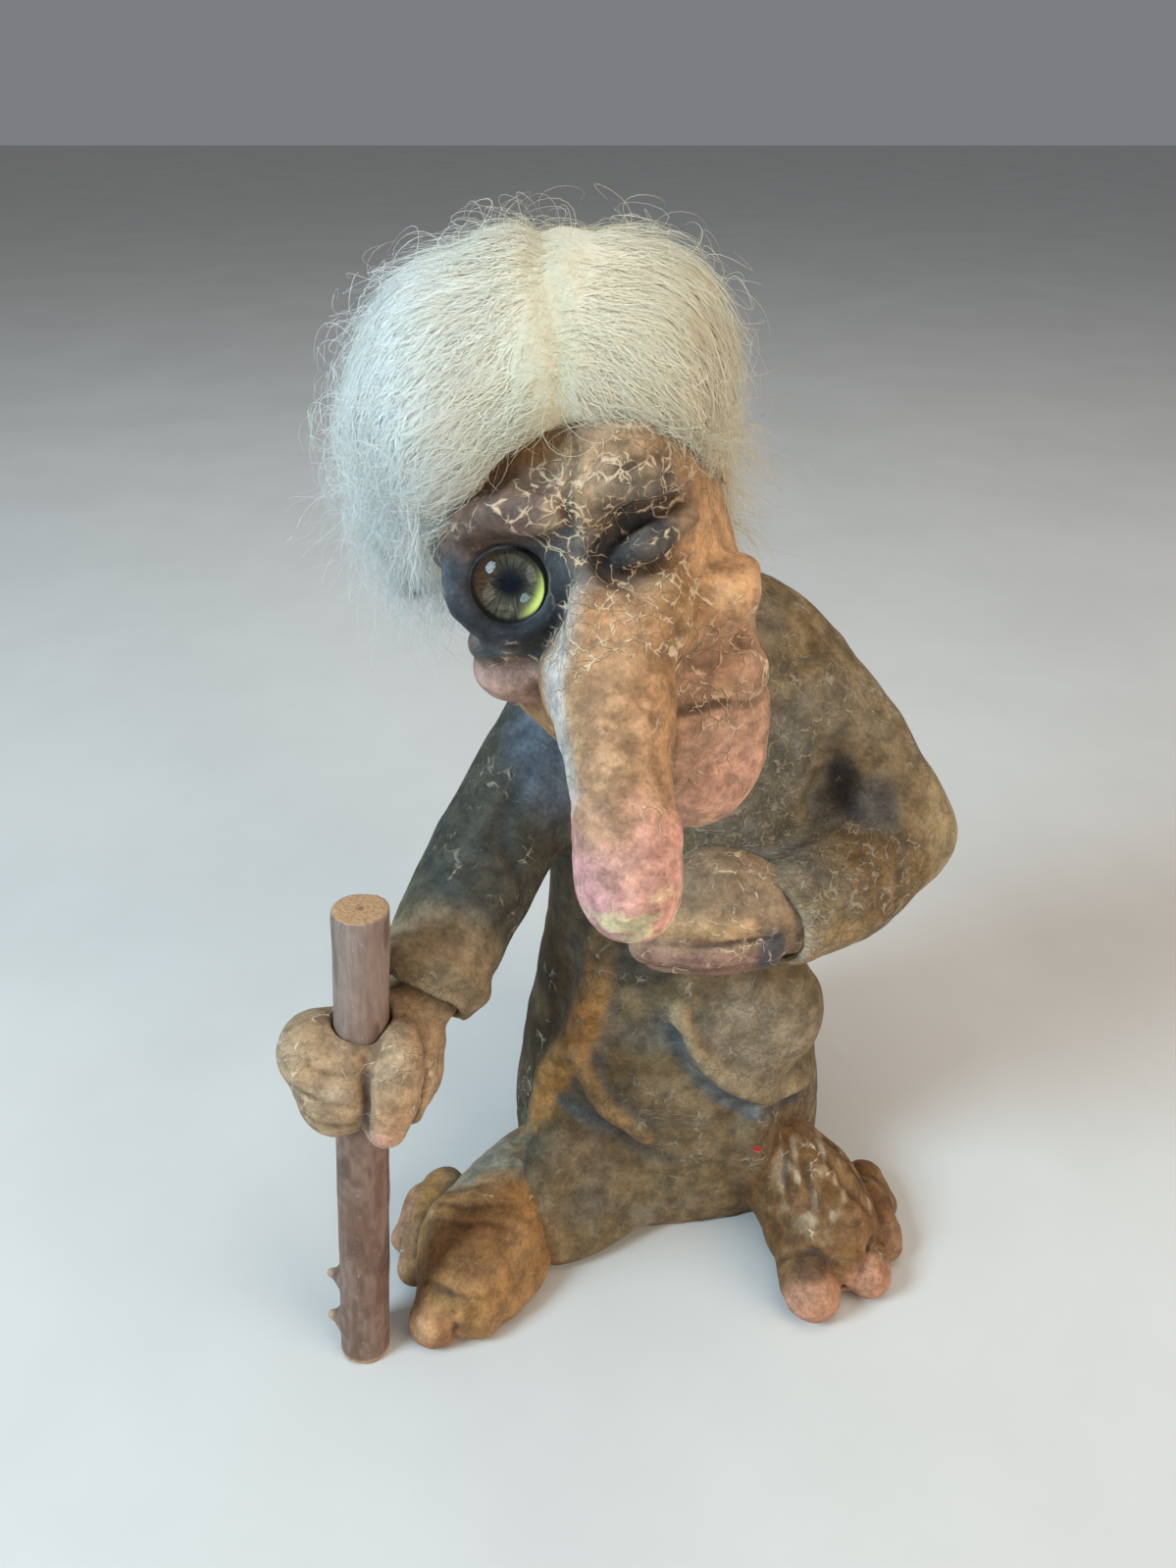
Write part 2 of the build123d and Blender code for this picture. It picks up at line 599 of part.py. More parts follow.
# Staff, leaning from its foot on the floor through the middle of the fist
fist_centre = moved(right_cuff, FIST_REACH)
staff_foot = Vector(STAFF_FOOT_X, STAFF_FOOT_Y, 0.0)
staff_aim = (fist_centre - staff_foot).normalized()
staff_top = staff_foot + staff_aim * STAFF_LENGTH
fist_front = (Vector(*FRONT) - staff_aim * Vector(*FRONT).dot(staff_aim)).normalized()
fist_side = staff_aim.cross(fist_front)
staff_bar = rod(staff_foot - staff_aim * STAFF_RADIUS, staff_top, STAFF_RADIUS)
stub_roots = [staff_foot + staff_aim * rise for rise in (STUB_LOW, STUB_HIGH)]
stub_reach = fist_front * STUB_RADIUS - fist_side * (STAFF_RADIUS + STUB_LENGTH)
stubs = [rod(root, root + stub_reach, STUB_RADIUS) for root in stub_roots]

with BuildPart() as staff:
    add(staff_bar)
    for stub in stubs:
        add(stub)
    split(bisect_by=Plane.XY, keep=Keep.TOP)
staff.part.label = "staff"

# Right hand: a fist with its fingers folded down in front, a hole for the staff and a wrist for the cuff
palm_centre = fist_centre - fist_front * FIST_SETBACK - fist_side * FIST_SHIFT
fist_palm = form(
    (
        (palm_centre - staff_aim * FIST_HALF_HEIGHT, FIST_HALF_WIDTH, FIST_HALF_DEPTH),
        (palm_centre, FIST_HALF_WIDTH, FIST_HALF_DEPTH),
        (palm_centre + staff_aim * FIST_HALF_HEIGHT, FIST_HALF_WIDTH, FIST_HALF_DEPTH),
    ),
    fist_side, upright=staff_aim, start_dome=FIST_DOME, end_dome=FIST_DOME)
fist_fingers = []
for finger in range(FIST_FINGERS):
    across = fist_side * ((finger - (FIST_FINGERS - 1) / 2) * 2 * (FIST_HALF_WIDTH - FIST_FINGER_RADIUS)
                          / (FIST_FINGERS - 1))
    knuckle = palm_centre + across + fist_front * (FIST_HALF_DEPTH - FIST_FINGER_RADIUS)
    bend = fist_front * FIST_FINGER_BEND
    fist_fingers.append(form(
        (
            (knuckle + staff_aim * FIST_HALF_HEIGHT, FIST_FINGER_RADIUS, FIST_FINGER_RADIUS),
            (knuckle + bend, FIST_FINGER_RADIUS, FIST_FINGER_RADIUS),
            (knuckle - staff_aim * FIST_HALF_HEIGHT, FIST_FINGER_RADIUS, FIST_FINGER_RADIUS),
        ),
        fist_side, start_dome=FIST_FINGER_RADIUS, end_dome=FIST_FINGER_RADIUS))
right_sleeve_bound = right_sleeve_form(-BOND)
right_wrist = rod(right_cuff - right_aim * (CUFF_RECESS + WRIST_DEPTH - SPIGOT),
                  right_cuff + right_aim * WALL, RIGHT_WRIST_RADIUS)
fist_aim = Vector(*FIST_REACH).normalized()
right_wrist_reach = rod(right_cuff + right_aim * WALL, fist_centre - fist_aim * (STAFF_RADIUS + WALL),
                        RIGHT_WRIST_RADIUS)
staff_bore = rod(staff_foot, staff_top, STAFF_RADIUS + RUNNING)

with BuildPart() as right_hand:
    add(fist_palm)
    for finger in fist_fingers:
        add(finger)
    add(right_wrist_reach)
    add(right_sleeve_bound, mode=Mode.SUBTRACT)
    add(right_wrist)
    add(staff_bore, mode=Mode.SUBTRACT)
right_hand.part.label = "right_hand"

# Left hand: a palm with a raised back and fingers laid across the belly
left_knuckles = moved(left_cuff, PALM_REACH)
palm_middle = left_cuff + (left_knuckles - left_cuff) / 2
left_palm = form(
    (
        (left_cuff, LEFT_WRIST_RADIUS, LEFT_WRIST_RADIUS),
        (palm_middle, PALM_HALF_WIDTH, PALM_HALF_DEPTH),
        (left_knuckles, PALM_HALF_WIDTH, PALM_HALF_DEPTH),
    ),
    UP, end_dome=PALM_HALF_DEPTH)
left_fingers = []
for finger in range(FINGERS):
    drop = (finger - (FINGERS - 1) / 2) * 2 * (PALM_HALF_WIDTH - FINGER_RADIUS) / (FINGERS - 1)
    root = left_knuckles - Vector(*UP) * drop + Vector(*FRONT) * FINGER_FORWARD
    left_fingers.append(form(
        (
            (root, FINGER_RADIUS, FINGER_RADIUS),
            (moved(root, FINGER_REACH), FINGER_RADIUS, FINGER_RADIUS),
        ),
        UP, end_dome=FINGER_RADIUS))
hand_back = lump(moved(left_cuff, HAND_BACK_REACH), HAND_BACK_HALF_WIDTH, HAND_BACK_HALF_DEPTH,
                 HAND_BACK_HALF_HEIGHT)
left_wrist = rod(left_cuff - left_aim * (CUFF_RECESS + WRIST_DEPTH - SPIGOT), left_cuff + left_aim * WALL,
                 LEFT_WRIST_RADIUS)

with BuildPart() as left_hand:
    add(left_palm)
    add(hand_back)
    for finger in left_fingers:
        add(finger)
    add(robe_bound, mode=Mode.SUBTRACT)
    add(left_wrist)
left_hand.part.label = "left_hand"


# Feet: a heel under the robe, a broad ball and its toes, cut flat on the floor
def foot_forms(heel_side, turn, length, toes):
    """One foot's solids: its body first, then its toes."""
    along = Vector(sin(radians(turn)), -cos(radians(turn)), 0.0)
    across = Vector(cos(radians(turn)), sin(radians(turn)), 0.0)
    heel = Vector(heel_side, HEEL_INSET - HEM_HALF_DEPTH, FOOT_RISE)
    instep = heel + along * (length / 2)
    ball = heel + along * length
    solids = [form(
        (
            (heel, HEEL_HALF_WIDTH, HEEL_HALF_HEIGHT),
            (instep, (HEEL_HALF_WIDTH + BALL_HALF_WIDTH) / 2, (HEEL_HALF_HEIGHT + BALL_HALF_HEIGHT) / 2),
            (ball, BALL_HALF_WIDTH, BALL_HALF_HEIGHT),
        ),
        across, end_dome=FOOT_DOME)]
    for side, ahead, radius in toes:
        tip = ball + across * side + along * ahead + Vector(0.0, 0.0, TOE_RISE - FOOT_RISE)
        solids.append(form(
            (
                (tip - along * TOE_LENGTH, radius, radius),
                (tip, radius, radius),
            ),
            across, start_dome=radius, end_dome=radius))
    return solids


right_foot_forms = foot_forms(RIGHT_HEEL_SIDE, RIGHT_FOOT_TURN, RIGHT_FOOT_LENGTH, RIGHT_TOES)
left_foot_forms = foot_forms(LEFT_HEEL_SIDE, LEFT_FOOT_TURN, LEFT_FOOT_LENGTH, LEFT_TOES)

with BuildPart() as right_foot:
    for solid in right_foot_forms:
        add(solid)
    split(bisect_by=Plane.XY, keep=Keep.TOP)
    add(robe_bound, mode=Mode.SUBTRACT)
right_foot.part.label = "right_foot"

with BuildPart() as left_foot:
    for solid in left_foot_forms:
        add(solid)
    split(bisect_by=Plane.XY, keep=Keep.TOP)
    add(robe_bound, mode=Mode.SUBTRACT)
left_foot.part.label = "left_foot"

pieces = (robe_casting, body_filling, head_casting, head_filling, eye_lens, eye_iris, wig_hide, wig_fleece,
          right_hand, left_hand, right_foot, left_foot, staff)
os.makedirs("parts", exist_ok=True)
for piece in pieces:
    export_step(piece.part, f"parts/{piece.part.label}.step")
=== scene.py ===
"""The look of a stooping, wool-haired troll figure with a walking stick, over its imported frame."""

from math import cos, pi, radians, sin

import bpy
import numpy as np
import openvdb
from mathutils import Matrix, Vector


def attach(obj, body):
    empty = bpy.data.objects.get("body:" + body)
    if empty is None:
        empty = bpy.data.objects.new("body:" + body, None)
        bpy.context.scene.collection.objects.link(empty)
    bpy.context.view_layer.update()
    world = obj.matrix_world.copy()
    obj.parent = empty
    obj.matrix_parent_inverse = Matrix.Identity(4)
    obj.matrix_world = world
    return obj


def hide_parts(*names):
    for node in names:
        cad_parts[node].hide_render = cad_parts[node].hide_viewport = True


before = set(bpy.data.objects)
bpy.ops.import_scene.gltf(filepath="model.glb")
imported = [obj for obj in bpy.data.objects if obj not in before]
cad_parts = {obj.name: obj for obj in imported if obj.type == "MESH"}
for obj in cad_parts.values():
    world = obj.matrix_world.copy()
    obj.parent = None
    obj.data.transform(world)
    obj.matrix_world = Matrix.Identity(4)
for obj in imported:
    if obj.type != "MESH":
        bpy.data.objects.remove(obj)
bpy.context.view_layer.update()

MM = 0.001
# A distance in millimetres that stands for far outside
FAR = 60.0
# Clay is kneaded and rubbed within these distances of its surface
KNEAD_BAND = 2.5
RUB_BAND = 3.0
# Cells along each side of the random table behind every grain
GRAIN_CELLS = 32


def unit(vectors):
    """The same directions, each 1 long."""
    return vectors / (np.linalg.norm(vectors, axis=-1, keepdims=True) + 1e-9)


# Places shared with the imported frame, in millimetres
HEAD_CENTRE = np.array((-16.0, -32.0, 177.0))
HEAD_ROLL = radians(20.0)
HEAD_AXES = np.array(
    (
        (cos(HEAD_ROLL), 0.0, sin(HEAD_ROLL)),
        (0.0, 1.0, 0.0),
        (-sin(HEAD_ROLL), 0.0, cos(HEAD_ROLL)),
    )
)
EYE_SEAT = np.array((-11.3, -19.5, 14.7))
EYE_TILT = radians(14.0)
EYE_AXES = np.array(
    (
        (1.0, 0.0, 0.0),
        (0.0, cos(EYE_TILT), -sin(EYE_TILT)),
        (0.0, sin(EYE_TILT), cos(EYE_TILT)),
    )
)
STAFF_FOOT = np.array((-72.2, -65.0, 0.0))
STAFF_AIM = np.array((0.07406, 0.107506, 0.991442))
STAFF_ACROSS = unit(np.cross((0.0, 1.0, 0.0), STAFF_AIM))
STAFF_AXES = np.array((STAFF_ACROSS, np.cross(unit(STAFF_AIM), STAFF_ACROSS), unit(STAFF_AIM)))
STAFF_LENGTH = 121.0
STAFF_RADIUS = 5.6
FIST_CENTRE = np.array((-66.0, -56.0, 83.0))
PARTING_X = -25.5


def frame_at(origin, axes):
    """A function that takes points of a frame into the frame round it."""

    def place(points):
        return origin + np.asarray(points) @ axes

    return place


from_head = frame_at(HEAD_CENTRE, HEAD_AXES)
from_fist = frame_at(FIST_CENTRE, STAFF_AXES)
from_staff = frame_at(STAFF_FOOT, STAFF_AXES)
# The eye looks along its own -Y, and its frame lies in the head's
from_eye = frame_at(EYE_SEAT, EYE_AXES)


def to_head(points):
    return (np.asarray(points) - HEAD_CENTRE) @ HEAD_AXES.T


def as_is(points):
    return points


# Modelling clay


def smooth_join(a, b, soft):
    """The nearer of two distances, rounded over where they meet."""
    if soft <= 0.0:
        return np.minimum(a, b)
    mix = np.clip(0.5 + 0.5 * (b - a) / soft, 0.0, 1.0)
    return b + (a - b) * mix - soft * mix * (1.0 - mix)


def corners(part):
    """The eight corners round points that lie at part of a grid's cell, with the weight of each."""
    for corner in np.ndindex(2, 2, 2):
        share = np.abs(1 - np.array(corner) - part)
        yield corner, share[:, 0] * share[:, 1] * share[:, 2]


def grain(points, size, seed):
    """Smooth random values from 0 to 1 that change over size millimetres."""
    table = np.random.default_rng(seed).random((GRAIN_CELLS,) * 3).astype(np.float32)
    where = np.asarray(points, np.float32) / size
    cell = np.floor(where).astype(np.int64)
    part = where - cell
    part = part * part * (3.0 - 2.0 * part)
    total = np.zeros(len(where), np.float32)
    for corner, weight in corners(part):
        total += weight * table[tuple(((cell + corner) % GRAIN_CELLS).T)]
    return total


class Clay:
    """Distances to a surface in millimetres on a grid, negative inside."""

    def __init__(self, low, high, step):
        self.low = np.array(low, np.float32)
        self.step = step
        counts = np.ceil((np.array(high) - self.low) / step).astype(int) + 1
        self.axes = [self.low[i] + step * np.arange(counts[i], dtype=np.float32) for i in range(3)]
        self.field = np.full(counts, FAR, np.float32)

    def region(self, low, high):
        """The part of the grid between two corners, with its coordinates."""
        cuts = tuple(
            slice(int(np.searchsorted(self.axes[i], low[i])), int(np.searchsorted(self.axes[i], high[i])))
            for i in range(3)
        )
        x, y, z = (self.axes[i][cuts[i]] for i in range(3))
        return cuts, x[:, None, None], y[None, :, None], z[None, None, :]

    def work(self, shape, soft, cutting):
        """Joins a shape on, or cuts it away, with a seam as wide as soft."""
        edge = soft + 3.0 * self.step
        low = np.min([part_low for part_low, _, _ in shape], axis=0) - edge
        high = np.max([part_high for _, part_high, _ in shape], axis=0) + edge
        cuts = self.region(low, high)[0]
        held = self.field[cuts]
        form = np.full(held.shape, FAR, np.float32)
        for part_low, part_high, away in shape:
            inner, x, y, z = self.region(part_low - edge, part_high + edge)
            within = tuple(slice(i.start - o.start, i.stop - o.start) for i, o in zip(inner, cuts))
            form[within] = np.minimum(form[within], away(x, y, z))
        if cutting:
            self.field[cuts] = -smooth_join(-held, form, soft)
        else:
            self.field[cuts] = smooth_join(held, form, soft)

    def add(self, shape, soft):
        self.work(shape, soft, False)

    def cut(self, shape, soft):
        self.work(shape, soft, True)

    def averaged(self, reach):
        """The field averaged over a box that goes reach millimetres to each side."""
        count = max(1, int(round(reach / self.step)))
        out = np.clip(self.field, -3.0 * reach, 3.0 * reach).astype(np.float64)
        for axis in range(3):
            room = [(0, 0)] * 3
            room[axis] = (count + 1, count)
            total = np.cumsum(np.pad(out, room, mode="edge"), axis=axis)
            size = total.shape[axis]
            upper = np.take(total, range(2 * count + 1, size), axis=axis)
            lower = np.take(total, range(0, size - 2 * count - 1), axis=axis)
            out = (upper - lower) / (2 * count + 1)
        return out.astype(np.float32)

    def knead(self, size, depth, seed, stretch=(1, 1, 1)):
        """Leaves the surface a little uneven, as hand-worked clay is, in grains that stretch draws out."""
        band = np.nonzero(np.abs(self.field) < KNEAD_BAND)
        points = np.stack([self.axes[i][band[i]] for i in range(3)], axis=1)
        self.field[band] += depth * (grain(points * stretch, size, seed) - 0.5) * 2.0

    def worked(self, reach, *grains):
        """Softens every edge by about reach millimetres, then kneads with each size, depth and seed."""
        self.field = np.where(np.abs(self.field) < RUB_BAND, self.averaged(reach), self.field)
        for size, depth, seed in grains:
            self.knead(size, depth, seed)

    def at(self, field, points):
        """A field's values at points, between the grid's own."""
        where = (np.asarray(points, np.float32) - self.low) / self.step
        top = np.array(field.shape) - 2
        cell = np.clip(np.floor(where).astype(int), 0, top)
        part = np.clip(where - cell, 0.0, 1.0)
        total = np.zeros(len(where), np.float32)
        for corner, weight in corners(part):
            total += weight * field[tuple((cell + corner).T)]
        return total

    def slope(self, points):
        """The outward directions at points."""
        gap = 1.2 * self.step
        parts = []
        for axis in range(3):
            step = np.zeros(3)
            step[axis] = gap
            parts.append(self.at(self.field, points + step) - self.at(self.field, points - step))
        return unit(np.stack(parts, axis=1))

    def skin(self):
        """The surface as points and faces that look outward."""
        band = 3.0 * self.step
        grid = openvdb.FloatGrid(band)
        grid.copyFromArray(np.clip(self.field, -band, band))
        points, _, quads = grid.convertToPolygons(0.0, 0.0)
        points = np.asarray(points) * self.step + self.low
        quads = np.asarray(quads)
        a, b, c = (points[quads[:, i]] for i in range(3))
        if np.einsum("ij,ij->", a, np.cross(b, c)) < 0.0:
            quads = quads[:, ::-1]
        return points, quads


def bead(low, high, away):
    """One part of a shape: the box round it, and the distances from it."""
    return (np.array(low, float), np.array(high, float), away)


def egg(centre, halves, axes=None):
    """An ellipsoid. The rows of axes are its own directions, where it is turned."""
    middle = np.array(centre, np.float32)
    half = np.array(halves, np.float32)
    turn = np.eye(3) if axes is None else np.array(axes)
    reach = half if axes is None else np.full(3, half.max())

    def away(x, y, z):
        gaps = (x - middle[0], y - middle[1], z - middle[2])
        near = 0.0
        steep = 0.0
        for i in range(3):
            own = turn[i][0] * gaps[0] + turn[i][1] * gaps[1] + turn[i][2] * gaps[2]
            near = near + (own / half[i]) ** 2
            steep = steep + (own / half[i] ** 2) ** 2
        near = np.sqrt(near)
        return near * (near - 1.0) / (np.sqrt(steep) + 1e-6)

    return [bead(middle - reach, middle + reach, away)]


def curve(knots, fine=5):
    """Knots of any number of values, joined by a smooth curve through them."""
    knots = np.array(knots, float)
    if len(knots) < 3:
        return knots
    ends = np.vstack([2 * knots[0] - knots[1], knots, 2 * knots[-1] - knots[-2]])
    out = []
    for i in range(1, len(ends) - 2):
        p, q, r, s = ends[i - 1 : i + 3]
        for t in np.arange(fine) / fine:
            bend = (2 * p - 5 * q + 4 * r - s) * t**2 + (3 * q - p - 3 * r + s) * t**3
            out.append(0.5 * (2 * q + (r - p) * t + bend))
    out.append(knots[-1])
    return np.array(out)


def limb(*knots, fine=5):
    """A rounded limb through knots of x, y, z and radius."""
    path = curve(knots, fine)
    beads = []
    for start, end in zip(path, path[1:]):
        a, b = start[:3], end[:3]
        reach = b - a
        length = float(reach @ reach) + 1e-9
        radius, more = float(start[3]), float(end[3] - start[3])

        def away(x, y, z, a=a, reach=reach, length=length, radius=radius, more=more):
            x, y, z = x - a[0], y - a[1], z - a[2]
            t = np.clip((x * reach[0] + y * reach[1] + z * reach[2]) / length, 0.0, 1.0)
            gap = np.sqrt((x - t * reach[0]) ** 2 + (y - t * reach[1]) ** 2 + (z - t * reach[2]) ** 2)
            return (gap - radius - t * more).astype(np.float32)

        big = max(start[3], end[3])
        beads.append(bead(np.minimum(a, b) - big, np.maximum(a, b) + big, away))
    return beads


def groove(clay, knots, soft):
    """Cuts a crease along the surface that lies nearest to its knots."""
    path = curve(knots, 4)
    for _ in range(3):
        path[:, :3] -= clay.slope(path[:, :3]) * clay.at(clay.field, path[:, :3])[:, None]
    clay.cut(limb(*path, fine=1), soft)


def arc(centre, across, upright, radius, thick, start, end, count):
    """A limb bent round a centre, with angles in degrees from across towards upright."""
    centre, across, upright = (np.array(v, float) for v in (centre, across, upright))
    knots = []
    for turn in np.radians(np.linspace(start, end, count)):
        place = centre + radius * (cos(turn) * across + sin(turn) * upright)
        knots.append((*place, thick))
    return limb(*knots)


def stack(rows):
    """An upright body through rows of height, half width, half depth, middle x and middle y."""
    fine = curve(rows, 8)
    low_z, high_z = fine[0, 0], fine[-1, 0]

    def away(x, y, z):
        wide, deep, mid_x, mid_y = (np.interp(z, fine[:, 0], fine[:, i]) for i in (1, 2, 3, 4))
        own_x, own_y = x - mid_x, y - mid_y
        near = np.sqrt((own_x / wide) ** 2 + (own_y / deep) ** 2)
        steep = np.sqrt((own_x / wide**2) ** 2 + (own_y / deep**2) ** 2) + 1e-6
        side = near * (near - 1.0) / steep
        return np.maximum(side, np.maximum(low_z - z, z - high_z)).astype(np.float32)

    reach = fine[:, 1:3].max(axis=0)
    low = (*(fine[:, 3:5].min(axis=0) - reach), low_z)
    high = (*(fine[:, 3:5].max(axis=0) + reach), high_z)
    return [bead(low, high, away)]


def beyond(origin, normal, reach, low, high):
    """Everything in a box that lies more than reach from an origin, along a normal."""

    def away(x, y, z):
        gone = normal[0] * (x - origin[0]) + normal[1] * (y - origin[1]) + normal[2] * (z - origin[2])
        return (reach - gone).astype(np.float32)

    return [bead(low, high, away)]


def below(height, room=120.0):
    """Everything under a height."""
    return beyond((0, 0, height), (0, 0, -1), 0.0, (-room, -room, -room), (room, room, height))


# Pieces and paint


def piece(name, points, faces, body, slot, material, *nodes):
    """A smooth mesh in millimetres that rides on a body and stands for some of the frame's nodes."""
    mesh = bpy.data.meshes.new(name)
    mesh.from_pydata((np.asarray(points) * MM).tolist(), [], [tuple(face) for face in faces])
    mesh.polygons.foreach_set("use_smooth", np.ones(len(mesh.polygons), bool))
    mesh.materials.append(material)
    obj = bpy.data.objects.new(name, mesh)
    bpy.context.scene.collection.objects.link(obj)
    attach(obj, body)
    if nodes:
        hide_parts(*nodes)
    return obj


def mark(obj, name, values):
    """Stores one value or one colour for each point of a piece."""
    values = np.asarray(values, np.float32)
    if values.ndim == 1:
        layer = obj.data.attributes.new(name, "FLOAT", "POINT")
        layer.data.foreach_set("value", values)
    else:
        layer = obj.data.attributes.new(name, "FLOAT_COLOR", "POINT")
        solid = np.ones((len(values), 1), np.float32)
        layer.data.foreach_set("color", np.hstack([values, solid]).ravel())


# Relief is read at these reaches in millimetres, each with its share
RELIEF = ((1.6, 1.0), (0.8, 0.6))
# Strengths of the painted shade in hollows and of the painted highlights on ridges
HOLLOW_GAIN = 3.2
RIDGE_GAIN = 2.6


def fade(values, start, end):
    """From 0 at start to 1 at end, smoothly, either way round."""
    t = np.clip((values - start) / (end - start), 0.0, 1.0)
    return t * t * (3.0 - 2.0 * t)


def spot(points, centre, halves, edge=0.5):
    """1 inside an ellipsoid, fading out over edge times its size."""
    near = np.linalg.norm((points - np.array(centre)) / np.array(halves), axis=1)
    return fade(near, 1.0 + edge, 1.0 - edge * 0.4)


def along(points, knots, width):
    """1 on a line through knots, fading out at width millimetres from it."""
    path = curve(knots)
    best = np.full(len(points), 1e9)
    for a, b in zip(path, path[1:]):
        reach = b - a
        t = np.clip((points - a) @ reach / (reach @ reach + 1e-9), 0.0, 1.0)
        best = np.minimum(best, np.linalg.norm(points - a - t[:, None] * reach, axis=1))
    return fade(best, width, width * 0.35)


class Coat:
    """Paint on the points of a piece, laid on in turn, with the relief there: hollows that take painted
    shade and ridges that mostly take painted highlights.
    """

    def __init__(self, clay, points, ground):
        self.points = points
        self.out = clay.slope(points)
        relief = sum(share * clay.at(clay.averaged(reach), points) / reach for reach, share in RELIEF)
        # Painted shade goes in the hollows, painted highlights mostly on the ridges
        self.hollow_shade = np.clip(-relief * HOLLOW_GAIN, 0.0, 1.0)
        self.ridge = np.clip(relief * RIDGE_GAIN, 0.0, 1.0)
        self.tint = np.tile(np.array(ground), (len(points), 1))

    def wash(self, colour, amount):
        """Lays a colour on as thickly as amount says at each point."""
        amount = np.clip(np.asarray(amount), 0.0, 1.0)[:, None]
        self.tint = self.tint * (1.0 - amount) + np.array(colour) * amount

    def dab(self, colour, amount, centre, halves, edge=0.5):
        """Lays a colour on in a soft spot."""
        self.wash(colour, amount * spot(self.points, centre, halves, edge))

    def stroke(self, colour, amount, knots, width):
        """Lays a colour on in a soft line."""
        self.wash(colour, amount * along(self.points, knots, width))


def cast(clay, name, body, slot, node, place, ground, painter, material):
    """Turns clay into a painted piece. place takes its points into the row frame, ground is its first
    colour, and painter lays the rest on the coat and returns how much crackle shows at each point."""
    points, faces = clay.skin()
    obj = piece(name, place(points), faces, body, slot, material, node)
    coat = Coat(clay, points, ground)
    cracks = painter(coat)
    mark(obj, "tint", np.clip(coat.tint, 0.0, 1.0))
    mark(obj, "cracks", np.clip(cracks, 0.0, 1.0))
    mark(obj, "hollow_shade", coat.hollow_shade)


# Paints, in linear red, green and blue

CHARCOAL = (0.024, 0.025, 0.029)
SLATE = (0.070, 0.074, 0.080)
OCHRE = (0.33, 0.180, 0.080)
TAN = (0.47, 0.27, 0.135)
ROSE = (0.70, 0.36, 0.295)
PALE = (0.68, 0.52, 0.34)
UMBER = (0.115, 0.062, 0.033)
OLIVE = (0.180, 0.140, 0.082)
EARTH = (0.178, 0.118, 0.058)
# Pale dust, also laid on the robe's ridges as a painted highlight
DUST_AND_HIGHLIGHT = (0.30, 0.225, 0.135)
BLUE_GREY = (0.160, 0.172, 0.172)
STAFF_HAND_BROWN = (0.37, 0.235, 0.13)
BELLY_HAND_BROWN = (0.32, 0.20, 0.115)
STAFF_FOOT_BROWN = (0.34, 0.178, 0.064)
FAR_FOOT_BROWN = (0.165, 0.074, 0.022)
BARK_BROWN = (0.175, 0.092, 0.058)


# Head

BROW_STEP = ((4.9, -25.6, 38), (2.9, -28.0, 29), (1.4, -29.4, 21.5))
MOUTH = (
    (5.5, -28, -13.2, 0.7),
    (9.5, -26, -14.4, 0.95),
    (14.5, -24, -15.9, 1.0),
    (21.0, -15, -20.2, 0.7),
    (22.8, -9, -21, 0.3),
)


